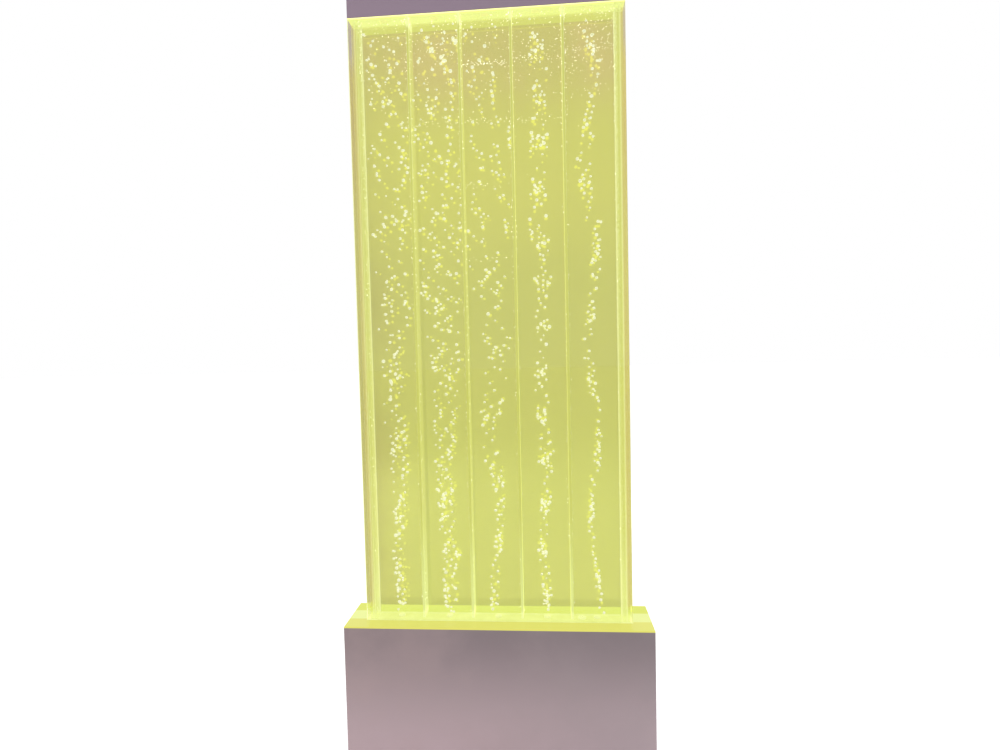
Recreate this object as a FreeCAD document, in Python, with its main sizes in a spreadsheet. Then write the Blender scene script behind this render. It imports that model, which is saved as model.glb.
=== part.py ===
"""Free-standing bubble wall: a clear tank in five channels on a lit cabinet, with a lift-off cap."""
import FreeCAD, Part
import math
import os
import re
import Sketcher
from FreeCAD import Placement, Rotation, Vector

# Driving dimensions in millimetres. X runs along the wall, Y from front to rear, Z up from the floor.
SIZES = {
    # whole object
    "base_width": 800,
    "base_depth": 140,
    "base_height": 345,
    "panel_width": 700,
    "panel_depth": 60,
    "panel_height": 1565,
    "cap_height": 90,
    # cabinet boards
    "board": 8,
    "floor_thickness": 12,
    "deck_thickness": 4,
    "deck_edge_radius": 1,
    "foot_gap": 15,
    "skirt_gap": 9,
    "rear_recess": 6,
    "cleat_leg": 20,
    "cleat_wall": 2,
    "cleat_length": 180,
    "floor_vents": 6,
    "vent_length": 44,
    "vent_width": 5,
    "vent_pitch": 14,
    # service opening and its door
    "opening_margin": 90,
    "opening_head": 45,
    "opening_sill": 60,
    "opening_corner": 10,
    "door_thickness": 2,
    "door_overlap": 12,
    "door_gap": 0.3,
    "door_corner": 6,
    "door_vents": 7,
    "finger_hole_radius": 12,
    "finger_hole_inset": 40,
    "hinge_length": 40,
    "hinge_spacing": 160,
    "hinge_offset": 4,
    "knuckle_radius": 2.5,
    "knuckle_gap": 0.5,
    "knuckle_length": 12,
    "hinge_pin_radius": 1.5,
    "leaf_width": 24,
    "leaf_thickness": 1.2,
    "catch_width": 16,
    "catch_height": 24,
    "catch_ear": 24,
    # levelling feet
    "foot_inset": 35,
    "foot_side": 44,
    "foot_radius": 18,
    "foot_rim": 5,
    "foot_chamfer": 1,
    "foot_neck_radius": 7,
    "stud_radius": 4,
    "stud_top": 42,
    "insert_radius": 6,
    "insert_flange_radius": 10.5,
    "insert_flange": 2,
    # tank
    "channels": 5,
    "pane": 8,
    "end_bar": 26,
    "divider": 6,
    "tank_foot": 45,
    "tank_floor_thickness": 15,
    "level_gap": 6,
    "seal_width": 1.5,
    # cradle and trestles
    "pad_thickness": 3,
    "cradle_wall": 3,
    "cradle_overhang": 1,
    "cradle_lip": 38,
    "hole_margin": 2,
    "trestle_inset": 50,
    "trestle_wall": 3,
    "trestle_flange": 40,
    "trestle_depth": 64,
    "trestle_window_width": 44,
    "trestle_window_height": 130,
    # light
    "led_bar_width": 36,
    "led_bar_wall": 2,
    "led_bar_overlap": 8,
    "chip_side": 5,
    "chip_height": 1.6,
    "chip_rows_apart": 25,
    "chip_margin": 17,
    "chip_columns": 24,
    "driver_length": 130,
    "driver_width": 40,
    "driver_height": 30,
    "driver_ear": 12,
    "driver_gap": 32,
    "driver_margin": 4,
    "driver_base": 2,
    "driver_slots": 8,
    "driver_slot_width": 4,
    "driver_slot_depth": 3,
    "driver_slot_pitch": 10,
    "lamp_lead_offset": 26,
    "lamp_lead_drop": 26,
    # air
    "nozzle_head_radius": 9,
    "nozzle_head": 4.5,
    "nozzle_shank_radius": 5,
    "nozzle_shank": 22,
    "nozzle_tail": 20,
    "nozzle_bore_radius": 0.8,
    "ring_thickness": 1.5,
    "nut_flats": 15,
    "nut_height": 5,
    "tube_radius": 3,
    "tube_bore_radius": 2,
    "tube_bend": 30,
    "low_run_drop": 56,
    "high_run_drop": 28,
    "manifold_drop": 124,
    "manifold_length": 200,
    "manifold_side": 20,
    "valve_pitch": 40,
    "spigot_radius": 3,
    "spigot_length": 8,
    "inlet_spigot": 12,
    "check_body_radius": 8,
    "check_length": 37,
    "check_socket": 10,
    "check_wall": 2,
    "check_lower_cone": 2,
    "check_body": 7,
    "check_upper_cone": 3,
    "check_tail": 10,
    "tube_lap": 9,
    "needle_radius": 3,
    "needle_length": 12,
    "needle_tip": 2,
    "needle_gap": 1,
    "knob_radius": 9,
    "knob_length": 13,
    "knob_chamfer": 1.5,
    "knob_flutes": 10,
    "flute_radius": 1.6,
    "flute_start": 2,
    "bracket_width": 120,
    "bracket_wall": 3,
    "bracket_foot": 35,
    "pump_gap": 5,
    "pump_length": 160,
    "pump_width": 90,
    "pump_case_height": 45,
    "pump_cover_height": 30,
    "pump_corner": 14,
    "pump_crown": 9,
    "pump_foot_height": 8,
    "pump_foot_radius": 9,
    "pump_foot_taper": 2,
    "pump_foot_end": 20,
    "pump_foot_side": 15,
    "pump_flutes": 9,
    "pump_flute_width": 4,
    "pump_flute_depth": 2.5,
    "pump_flute_pitch": 12,
    "outlet_radius": 3.9,
    "outlet_length": 16,
    "outlet_rise": 25,
    "outlet_collar": 3,
    "hose_radius": 5.5,
    "hose_bend": 32,
    "inlet_position": -60,
    # drain
    "drain_offset": 39.6,
    "drain_flange_radius": 11,
    "drain_flange": 3,
    "drain_chamfer": 2,
    "drain_shank_tail": 6,
    "drain_tail_gap": 5,
    "drain_shank_radius": 8,
    "drain_tail_radius": 4.9,
    "drain_bore_radius": 3.5,
    "drain_hose_radius": 7,
    "drain_hose_bend": 28,
    "drain_front": 45,
    "drain_drop": 26,
    "drain_slant": 48,
    "drain_hose_end": 7,
    "drain_level": 60,
    "valve_body_radius": 13,
    "valve_tail": 15,
    "valve_front": 6,
    "valve_back": 5,
    "valve_chamfer": 4,
    "valve_foot_width": 24,
    "valve_foot_depth": 20,
    "spout_radius": 5,
    "spout_length": 24,
    "spout_wall": 1.8,
    "lever_centre": 12,
    "lever_length": 40,
    "lever_width": 10,
    "lever_thickness": 3,
    "lever_tip_radius": 4.5,
    "stem_radius": 3,
    "stem_length": 10,
    "stem_overlap": 1,
    "boss_rise": 4,
    "boss_wall": 3,
    "hub_wall": 4,
    "hub_height": 5,
    # power
    "socket_inset": 38,
    "socket_level": 105,
    "socket_width": 27,
    "socket_height": 50,
    "socket_depth": 30,
    "socket_flange": 2,
    "socket_rim": 2.5,
    "mouth_side": 1.5,
    "mouth_corner": 5,
    "mouth_top": 3,
    "mouth_shoulder": 13,
    "mouth_bottom": 19,
    "rocker_width": 13.6,
    "rocker_length": 19,
    "rocker_tilt": 8,
    "rocker_rise": 12,
    "rocker_pivot_depth": 3,
    "rocker_sink": 0.8,
    "rocker_edge": 1,
    "rocker_keel": 4,
    "rocker_relief": 0.4,
    "rocker_gap": 1,
    "trunnion_radius": 1,
    "trunnion_length": 1.7,
    "blade_length": 14,
    "blade_thickness": 2,
    "blade_height": 4,
    "blade_spacing": 7,
    "blade_level": 11.5,
    "earth_level": 14.5,
    "blade_root": 2,
    "lead_radius": 3,
    "lead_bend": 18,
    "lead_rise": 13,
    "inlet_lead_front": 10,
    "pump_lead_front": 26,
    # cap
    "cap_wall": 6,
    "liner_thickness": 4,
    "peg_radius": 3,
    "peg_length": 10,
    "peg_gap": 2,
    "peg_strip": 14,
    "liner_vent_half": 10,
    "cap_slots": 11,
    "cap_slot_length": 24,
    "cap_slot_height": 3,
    "cap_slot_pitch": 52,
    # fits
    "fit": 0.05,
    "clearance": 0.3,
}

# Levels and half sizes that follow from the driving dimensions.
DERIVED = {
    "half_width": "base_width / 2",
    "half_depth": "base_depth / 2",
    "inner_half": "half_width - board",
    "front_inner": "board - half_depth",
    "rear_outer": "half_depth - rear_recess",
    "rear_inner": "rear_outer - board",
    "floor_top": "foot_gap + floor_thickness",
    "panels_top": "base_height - deck_thickness",
    "opening_half": "half_width - opening_margin",
    "opening_top": "panels_top - opening_head",
    "opening_height": "opening_top - opening_sill",
    "socket_centre": "half_width - socket_inset",
    "door_inner": "rear_outer + door_gap",
    "door_outer": "door_inner + door_thickness",
    "door_half": "opening_half + door_overlap",
    "hinge_x": "-(door_half + hinge_offset)",
    "hinge_y": "rear_outer + knuckle_radius + knuckle_gap",
    "tank_half": "panel_width / 2",
    "tank_face": "panel_depth / 2",
    "channel_face": "tank_face - pane",
    "tank_inner": "tank_half - end_bar",
    "tank_bottom": "base_height - tank_foot",
    "tank_top": "base_height + panel_height",
    "floor_under": "base_height - tank_floor_thickness",
    "channel_pitch": "(2 * tank_inner + divider) / channels",
    "first_channel": "-channel_pitch * (channels - 1) / 2",
    "drain_position": "-first_channel - drain_offset",
    "driver_start": "drain_position - driver_gap - driver_length",
    "lamp_lead": "channel_pitch + lamp_lead_offset",
    "trestle_position": "tank_half - trestle_inset",
    "pump_centre": "pump_gap + pump_length / 2 - trestle_position",
    "web_top": "tank_bottom - pad_thickness",
    "web_bottom": "web_top - cradle_wall",
    "led_top": "floor_under - 2 * chip_height",
    "led_half": "tank_inner - led_bar_overlap",
    "chip_pitch": "2 * (led_half - chip_margin) / (chip_columns - 1)",
    "tube_end": "base_height - nozzle_shank - nozzle_tail / 4",
    "manifold_top": "web_bottom - manifold_drop",
    "manifold_centre": "manifold_top - manifold_side / 2",
    "first_valve": "-valve_pitch * (channels - 1) / 2",
    "tube_start": "manifold_top + check_length - tube_lap",
    "pump_base": "floor_top + pump_foot_height",
    "outlet_level": "pump_base + outlet_rise",
    "foot_x": "half_width - foot_inset",
    "cap_inner": "tank_half - cap_wall",
    "cap_face": "tank_face - cap_wall",
    "overall_height": "tank_top + cap_height",
}

doc = FreeCAD.newDocument("bubble_wall")
sheet = doc.addObject("Spreadsheet::Sheet", "Sizes")
for row, (alias, size) in enumerate(SIZES.items(), start=1):
    sheet.set(f"A{row}", alias)
    sheet.set(f"B{row}", str(size))
    sheet.setAlias(f"B{row}", alias)

NAME = re.compile(r"\b(" + "|".join([*SIZES, *DERIVED]) + r")\b")


def bound(formula):
    """A formula with its size names written as references to the sheet or to the derived sizes."""
    return NAME.sub(lambda word: ("Sizes." if word[0] in SIZES else "Derived.") + word[0], formula)


derived = doc.addObject("App::VarSet", "Derived")
for alias, formula in DERIVED.items():
    derived.addProperty("App::PropertyFloat", alias)
    derived.setExpression(alias, bound(formula).replace("Derived.", ""))
probe = doc.addObject("App::VarSet", "Probe")
probe.addProperty("App::PropertyFloat", "result")
doc.recompute()


def number(formula):
    """The present value of a formula, for a sketch's first position or a route's point."""
    probe.setExpression("result", bound(str(formula)))
    doc.recompute([probe])
    return probe.result


def bind(thing, formulas):
    """Tie an object's properties to formulas."""
    for name, formula in formulas.items():
        thing.setExpression(name, bound(str(formula)))


def place(thing, x="0", y="0", z="0"):
    """Tie an object's position to formulas."""
    bind(thing, {"Placement.Base.x": x, "Placement.Base.y": y, "Placement.Base.z": z})
    return thing


pieces = []


def new_body(label):
    body = doc.addObject("PartDesign::Body", label)
    body.Label = label
    pieces.append(body)
    return body


def origin_of(body, role):
    return next(feature for feature in body.Origin.OriginFeatures if feature.Role == role)


def new_sketch(body, plane, level="0"):
    """A sketch parallel to an origin plane, at a level along the axis that the plane faces."""
    page = body.newObject("Sketcher::SketchObject", body.Label + "_sketch")
    page.AttachmentSupport = (origin_of(body, plane + "_Plane"), [""])
    page.MapMode = "FlatFace"
    sign = "-" if plane == "XZ" else ""
    bind(page, {"AttachmentOffset.Base.z": f"{sign}({level})"})
    return page


def fix_point(page, line, vertex, x, y):
    """Hold a point of a sketch at formulas measured from the origin."""
    for kind, formula, axis in (("DistanceX", x, -2), ("DistanceY", y, -1)):
        value = number(formula)
        if abs(value) < 1e-9:
            page.addConstraint(Sketcher.Constraint("PointOnObject", line, vertex, axis))
        else:
            index = page.addConstraint(Sketcher.Constraint(kind, -1, 1, line, vertex, value))
            page.setExpression(f"Constraints[{index}]", bound(str(formula)))


def outline(page, corners):
    """A closed outline of straight lines through corners given as pairs of formulas."""
    points = [Vector(number(x), number(y), 0) for x, y in corners]
    following = points[1:] + points[:1]
    lines = [page.addGeometry(Part.LineSegment(a, b), False) for a, b in zip(points, following)]
    for line, after in zip(lines, lines[1:] + lines[:1]):
        page.addConstraint(Sketcher.Constraint("Coincident", line, 2, after, 1))
    for line, (x, y) in zip(lines, corners):
        fix_point(page, line, 1, x, y)
    return page


def rectangle(page, left, right, low, high):
    return outline(page, [(left, low), (right, low), (right, high), (left, high)])


def circle(page, x, y, radius):
    centre = Vector(number(x), number(y), 0)
    ring = page.addGeometry(Part.Circle(centre, Vector(0, 0, 1), number(radius)), False)
    index = page.addConstraint(Sketcher.Constraint("Radius", ring, number(radius)))
    page.setExpression(f"Constraints[{index}]", bound(str(radius)))
    fix_point(page, ring, 3, x, y)
    return page


def extrude(kind, body, page, length):
    feature = body.newObject("PartDesign::" + kind, f"{body.Label}_{kind.lower()}")
    feature.Profile = page
    bind(feature, {"Length": length})
    return feature


def pad(body, page, length):
    """Material from the sketch upwards (XY), forwards (XZ) or to the right (YZ)."""
    return extrude("Pad", body, page, length)


def pocket(body, page, length):
    """A cut from the sketch downwards (XY), rearwards (XZ) or to the left (YZ)."""
    return extrude("Pocket", body, page, length)


def revolve(body, page):
    """A full turn about the sketch's upright axis."""
    feature = body.newObject("PartDesign::Revolution", body.Label + "_turn")
    feature.Profile = page
    feature.ReferenceAxis = (page, ["V_Axis"])
    feature.Angle = 360
    return feature


def turned(label, corners):
    """A piece turned about Z, from corners given as radius and height."""
    body = new_body(label)
    turn = revolve(body, outline(new_sketch(body, "XZ"), corners))
    return body, turn


def repeat(body, features, axis, pitch, count, second=None):
    """Copies of features in a row along an axis, or in a grid with a second axis, span and count."""
    doc.recompute()
    pattern = body.newObject("PartDesign::LinearPattern", body.Label + "_row")
    pattern.Originals = features
    pattern.Direction = (origin_of(body, axis + "_Axis"), [""])
    pattern.Mode = "Spacing"
    bind(pattern, {"Offset": pitch, "Occurrences": count})
    if second:
        pattern.Direction2 = (origin_of(body, second[0] + "_Axis"), [""])
        pattern.Mode2 = "Extent"
        bind(pattern, {"Length2": second[1], "Occurrences2": second[2]})
    body.Tip = pattern
    return pattern


def soften(kind, body, size, chosen):
    """A fillet or chamfer along the chosen edges of the body."""
    doc.recompute()
    base = body.Tip
    names = [f"Edge{i}" for i, edge in enumerate(base.Shape.Edges, start=1) if chosen(edge)]
    feature = body.newObject("PartDesign::" + kind, f"{body.Label}_{kind.lower()}")
    feature.Base = (base, names)
    bind(feature, {"Radius" if kind == "Fillet" else "Size": size})
    return feature


def runs_along(edge, axis):
    way = edge.tangentAt(edge.FirstParameter)
    return len(edge.Vertexes) == 2 and abs(getattr(way, axis)) > 0.999


def lies_at(edge, axis, value):
    box = edge.BoundBox
    low = getattr(box, axis.upper() + "Min")
    high = getattr(box, axis.upper() + "Max")
    return abs(low - value) < 0.01 and abs(high - value) < 0.01


def block(label, x, y, z):
    """A plain bar between pairs of formulas."""
    bar = doc.addObject("Part::Box", label)
    bar.Label = label
    sides = {"Length": x, "Width": y, "Height": z}
    bind(bar, {name: f"({high}) - ({low})" for name, (low, high) in sides.items()})
    pieces.append(bar)
    return place(bar, x[0], y[0], z[0])


def route(points, bend):
    """Straight runs through points, joined by arcs of one radius."""
    edges = []
    start = points[0]
    for before, corner, after in zip(points, points[1:], points[2:]):
        arriving = (corner - before).normalize()
        leaving = (after - corner).normalize()
        half_turn = arriving.getAngle(leaving) / 2
        trim = bend * math.tan(half_turn)
        arc_start = corner - arriving * trim
        arc_end = corner + leaving * trim
        inward = (leaving - arriving).normalize()
        middle = corner + inward * (bend / math.cos(half_turn) - bend)
        edges.append(Part.LineSegment(start, arc_start).toShape())
        edges.append(Part.Arc(arc_start, middle, arc_end).toShape())
        start = arc_end
    edges.append(Part.LineSegment(start, points[-1]).toShape())
    return Part.Wire(edges)


def sweep(path, radius):
    first = path.OrderedEdges[0]
    ring = Part.makeCircle(radius, first.Vertexes[0].Point, first.tangentAt(first.FirstParameter))
    return path.makePipeShell([Part.Wire(ring)], True, False)


def hose(path, radius, bore):
    return sweep(path, radius).cut(sweep(path, bore))


def free_form(label, solids):
    feature = doc.addObject("Part::Feature", label)
    feature.Label = label
    feature.Shape = solids[0] if len(solids) == 1 else Part.makeCompound(solids)
    pieces.append(feature)
    return feature


SIDES = (("left", "-"), ("right", ""))


# Cabinet boards: the front board and the two side boards meet in mitres, and the rear board is set in.
def cabinet():
    body = new_body("front_panel")
    plan = [("-half_width", "-half_depth"), ("half_width", "-half_depth"),
            ("inner_half", "front_inner"), ("-inner_half", "front_inner")]
    pad(body, outline(new_sketch(body, "XY", "skirt_gap"), plan), "panels_top - skirt_gap")
    for side, sign in SIDES:
        body = new_body(side + "_side_panel")
        plan = [(sign + "half_width", "-half_depth"), (sign + "inner_half", "front_inner"),
                (sign + "inner_half", "half_depth"), (sign + "half_width", "half_depth")]
        pad(body, outline(new_sketch(body, "XY", "skirt_gap"), plan), "panels_top - skirt_gap")
    rear_frame()
    floor_board()
    deck()
    body = new_body("corner_cleats")
    page = new_sketch(body, "XY", "panels_top - cleat_length")
    for x, inward in (("-inner_half", "+"), ("inner_half", "-")):
        for y, rearward in (("front_inner", "+"), ("rear_inner", "-")):
            far_x, near_x = f"{x} {inward} cleat_leg", f"{x} {inward} cleat_wall"
            far_y, near_y = f"{y} {rearward} cleat_leg", f"{y} {rearward} cleat_wall"
            outline(page, [(x, y), (far_x, y), (far_x, near_y),
                           (near_x, near_y), (near_x, far_y), (x, far_y)])
    pad(body, page, "cleat_length - 2 * deck_thickness")


# Rear board: a service opening with rounded corners, and the cut-out of the power inlet beside it.
def rear_frame():
    body = new_body("rear_frame")
    page = new_sketch(body, "XZ", "rear_outer")
    pad(body, rectangle(page, "-inner_half", "inner_half", "skirt_gap", "panels_top"), "board")
    page = new_sketch(body, "XZ", "rear_inner")
    rectangle(page, "-opening_half", "opening_half", "opening_sill", "opening_top")
    across, tall = "(socket_width / 2 + clearance)", "(socket_height / 2 + clearance)"
    rectangle(page, f"socket_centre - {across}", f"socket_centre + {across}",
              f"socket_level - {tall}", f"socket_level + {tall}")
    pocket(body, page, "board")
    half = number("opening_half")
    soften("Fillet", body, "opening_corner",
           lambda edge: runs_along(edge, "y") and abs(abs(edge.CenterOfMass.x) - half) < 0.01)


# Floor board: holes for the levelling feet and a row of air slots under the pump.
def floor_board():
    body = new_body("floor_board")
    page = new_sketch(body, "XY", "foot_gap")
    pad(body, rectangle(page, "-inner_half", "inner_half", "front_inner", "rear_inner"), "floor_thickness")
    page = new_sketch(body, "XY", "floor_top")
    for x in ("-foot_x", "foot_x"):
        for y in ("-foot_side", "foot_side"):
            circle(page, x, y, "insert_radius + 2 * fit")
    pocket(body, page, "floor_thickness")
    page = new_sketch(body, "XY", "floor_top")
    start = "pump_centre - vent_pitch * (floor_vents - 1) / 2"
    rectangle(page, f"{start} - vent_width / 2", f"{start} + vent_width / 2",
              "-vent_length / 2", "vent_length / 2")
    slot = pocket(body, page, "floor_thickness")
    repeat(body, [slot], "X", "vent_pitch", "floor_vents")


# Opal deck over the whole cabinet, and the clear bead that seals the tank in its slot.
def deck():
    body = new_body("deck_plate")
    page = new_sketch(body, "XY", "panels_top")
    rectangle(page, "-half_width", "half_width", "-half_depth", "half_depth")
    slot = ["-tank_half - seal_width", "tank_half + seal_width",
            "-tank_face - seal_width", "tank_face + seal_width"]
    rectangle(page, *slot)
    pad(body, page, "deck_thickness")
    top = number("base_height")
    inside = number("tank_half + seal_width") + 1
    inside_face = number("tank_face + seal_width") + 1
    soften("Fillet", body, "deck_edge_radius",
           lambda edge: lies_at(edge, "z", top)
           and (abs(edge.CenterOfMass.x) > inside or abs(edge.CenterOfMass.y) > inside_face))
    body = new_body("deck_seal")
    page = new_sketch(body, "XY", "panels_top")
    rectangle(page, *slot)
    rectangle(page, "-tank_half", "tank_half", "-tank_face", "tank_face")
    pad(body, page, "deck_thickness")


# Service door: a steel sheet with air slots and a finger hole, on two pin hinges, held by a magnet.
def door():
    body = new_body("service_door")
    low, high = "opening_sill - door_overlap", "opening_top + door_overlap"
    page = new_sketch(body, "XZ", "door_outer")
    pad(body, rectangle(page, "-door_half", "door_half", low, high), "door_thickness")
    page = new_sketch(body, "XZ", "door_inner")
    circle(page, "door_half - finger_hole_inset", "(opening_sill + opening_top) / 2", "finger_hole_radius")
    pocket(body, page, "door_thickness")
    page = new_sketch(body, "XZ", "door_inner")
    level = "opening_sill + opening_height / 4"
    rectangle(page, "pump_centre - vent_length", "pump_centre + vent_length",
              f"{level} - vent_width / 2", f"{level} + vent_width / 2")
    slot = pocket(body, page, "door_thickness")
    repeat(body, [slot], "Z", "vent_pitch", "door_vents")
    half = number("door_half")
    soften("Fillet", body, "door_corner",
           lambda edge: runs_along(edge, "y") and abs(abs(edge.CenterOfMass.x) - half) < 0.01)
    frame_leaves()
    door_leaves()
    body = new_body("magnet_catch")
    inner, outer = "opening_half - hinge_offset - catch_width", "opening_half - hinge_offset"
    ear, ear_front = "opening_half + catch_ear - hinge_offset", "rear_inner - cleat_wall"
    face = "door_inner - clearance"
    page = new_sketch(body, "XY", "(opening_sill + opening_top - catch_height) / 2")
    outline(page, [(inner, "rear_inner - cleat_leg / 2"), (outer, "rear_inner - cleat_leg / 2"),
                   (outer, ear_front), (ear, ear_front), (ear, "rear_inner"), (outer, "rear_inner"),
                   (outer, face), (inner, face)])
    pad(body, page, "catch_height")


HINGE_BASE = "(opening_sill + opening_top - hinge_spacing - hinge_length) / 2"


# Frame leaves: a plate with a knuckle at each end and the hinge pin through both.
def frame_leaves():
    body = new_body("frame_hinge_leaves")
    low, high = "rear_outer - hinge_y", "rear_outer - hinge_y + leaf_thickness"
    clear = "-knuckle_radius - knuckle_gap"
    page = new_sketch(body, "XY")
    features = [pad(body, rectangle(page, "-leaf_width", clear, low, high), "hinge_length")]
    for start in ("0", "hinge_length - knuckle_length"):
        knuckle = circle(new_sketch(body, "XY", start), "0", "0", "knuckle_radius")
        features.append(pad(body, knuckle, "knuckle_length"))
        tab = rectangle(new_sketch(body, "XY", start), f"{clear} - leaf_thickness", "0", low, high)
        features.append(pad(body, tab, "knuckle_length"))
    pin = circle(new_sketch(body, "XY"), "0", "0", "hinge_pin_radius")
    features.append(pad(body, pin, "hinge_length"))
    repeat(body, features, "Z", "hinge_spacing", "2")
    place(body, "hinge_x", "hinge_y", HINGE_BASE)


# Door leaves: a plate on the door's face, with one bored knuckle between those of the frame.
def door_leaves():
    body = new_body("door_hinge_leaves")
    low, high = "door_outer - hinge_y", "door_outer - hinge_y + leaf_thickness"
    clear = "knuckle_radius + knuckle_gap"
    start, length = "knuckle_length + clearance", "hinge_length - 2 * knuckle_length - 2 * clearance"
    page = new_sketch(body, "XY")
    features = [pad(body, rectangle(page, clear, "leaf_width", low, high), "hinge_length")]
    tab = new_sketch(body, "XY", start)
    rectangle(tab, "hinge_pin_radius + fit", f"{clear} + leaf_thickness", low, high)
    features.append(pad(body, tab, length))
    knuckle = circle(new_sketch(body, "XY", start), "0", "0", "knuckle_radius")
    circle(knuckle, "0", "0", "hinge_pin_radius + fit")
    features.append(pad(body, knuckle, length))
    repeat(body, features, "Z", "hinge_spacing", "2")
    place(body, "hinge_x", "hinge_y", HINGE_BASE)


# Levelling feet on studs, and the flanged inserts in the floor board that carry them.
def feet():
    for side, sign in SIDES:
        for depth, face in (("front", "-"), ("rear", "")):
            body, _ = turned(f"{depth}_{side}_foot", [
                ("0", "0"), ("foot_radius - foot_chamfer", "0"), ("foot_radius", "foot_chamfer"),
                ("foot_radius", "foot_rim"),
                ("foot_neck_radius", "2 * foot_rim"), ("foot_neck_radius", "foot_gap - clearance"),
                ("stud_radius", "foot_gap - clearance"), ("stud_radius", "stud_top - foot_chamfer"),
                ("stud_radius - foot_chamfer", "stud_top"), ("0", "stud_top")])
            place(body, sign + "foot_x", face + "foot_side")
    body, turn = turned("foot_inserts", [
        ("stud_radius + fit", "foot_gap"), ("insert_radius", "foot_gap"), ("insert_radius", "floor_top"),
        ("insert_flange_radius", "floor_top"), ("insert_flange_radius", "floor_top + insert_flange"),
        ("stud_radius + fit", "floor_top + insert_flange")])
    repeat(body, [turn], "X", "2 * foot_x", "2", ("Y", "2 * foot_side", "2"))
    place(body, "-foot_x", "-foot_side")


# Tank: two panes bonded to end bars and dividers; the dividers stop above the floor so that the water levels.
def tank():
    length, height = ("-tank_half", "tank_half"), ("tank_bottom", "tank_top")
    block("front_pane", length, ("-tank_face", "-channel_face"), height)
    block("rear_pane", length, ("channel_face", "tank_face"), height)
    for side, sign in SIDES:
        body = new_body(side + "_end_bar")
        page = new_sketch(body, "XY", "tank_bottom")
        plan = [(sign + "tank_half", "-channel_face"), (sign + "tank_inner", "-channel_face"),
                (sign + "tank_inner", "channel_face"), (sign + "tank_half", "channel_face")]
        pad(body, outline(page, plan), "tank_top - tank_bottom")
        hole = new_sketch(body, "XY", "tank_top")
        circle(hole, f"{sign}(tank_half - end_bar / 2)", "0", "peg_radius + fit")
        pocket(body, hole, "peg_length + peg_gap")
    for i in range(1, int(sheet.channels)):
        middle = f"first_channel + channel_pitch * {i - 0.5}"
        block(f"divider_{i}", (f"{middle} - divider / 2", f"{middle} + divider / 2"),
              ("-channel_face", "channel_face"), ("base_height + level_gap", "tank_top"))
    body = new_body("tank_floor")
    page = new_sketch(body, "XY", "floor_under")
    rectangle(page, "-tank_inner", "tank_inner", "-channel_face", "channel_face")
    pad(body, page, "tank_floor_thickness")
    page = new_sketch(body, "XY", "base_height")
    circle(page, "drain_position", "0", "drain_shank_radius + 2 * fit")
    pocket(body, page, "tank_floor_thickness")
    page = new_sketch(body, "XY", "base_height")
    circle(page, "first_channel", "0", "nozzle_shank_radius + 2 * fit")
    repeat(body, [pocket(body, page, "tank_floor_thickness")], "X", "channel_pitch", "channels")


# Cradle: a steel channel with neoprene strips that takes the foot of the tank, on two trestles.
def cradle():
    body = new_body("tank_pads")
    page = new_sketch(body, "XY", "web_top")
    rectangle(page, "-tank_half", "tank_half", "-tank_face", "-channel_face")
    rectangle(page, "-tank_half", "tank_half", "channel_face", "tank_face")
    pad(body, page, "pad_thickness")
    body = new_body("tank_cradle")
    inner, outer = "tank_face + clearance", "tank_face + clearance + cradle_wall"
    lip = "web_top + cradle_lip"
    page = new_sketch(body, "YZ", "-tank_half - cradle_overhang")
    outline(page, [(f"-({outer})", "web_bottom"), (outer, "web_bottom"), (outer, lip), (inner, lip),
                   (inner, "web_top"), (f"-({inner})", "web_top"),
                   (f"-({inner})", lip), (f"-({outer})", lip)])
    pad(body, page, "panel_width + 2 * cradle_overhang")
    page = new_sketch(body, "XY", "web_top")
    circle(page, "drain_position", "0", "drain_hose_radius + hole_margin")
    circle(page, "lamp_lead", "0", "lead_radius + hole_margin")
    pocket(body, page, "cradle_wall")
    hole = circle(new_sketch(body, "XY", "web_top"), "first_channel", "0", "tube_radius + hole_margin")
    repeat(body, [pocket(body, hole, "cradle_wall")], "X", "channel_pitch", "channels")
    for side, sign in SIDES:
        trestle(side + "_trestle", sign)


# Trestle: a folded steel bracket with an upper and a lower flange and a window that lightens it.
def trestle(label, sign):
    body = new_body(label)
    near, wall = f"{sign}trestle_position", f"{sign}(trestle_position + trestle_wall)"
    far = f"{sign}(trestle_position + trestle_flange)"
    page = new_sketch(body, "XZ", "trestle_depth / 2")
    outline(page, [(near, "floor_top"), (far, "floor_top"), (far, "floor_top + trestle_wall"),
                   (wall, "floor_top + trestle_wall"), (wall, "web_bottom - trestle_wall"),
                   (far, "web_bottom - trestle_wall"), (far, "web_bottom"), (near, "web_bottom")])
    pad(body, page, "trestle_depth")
    middle = "(floor_top + web_bottom) / 2"
    high_x = wall if not sign else near
    window = new_sketch(body, "YZ", high_x)
    rectangle(window, "-trestle_window_width / 2", "trestle_window_width / 2",
              f"{middle} - trestle_window_height / 2", f"{middle} + trestle_window_height / 2")
    pocket(body, window, "trestle_wall")


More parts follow.
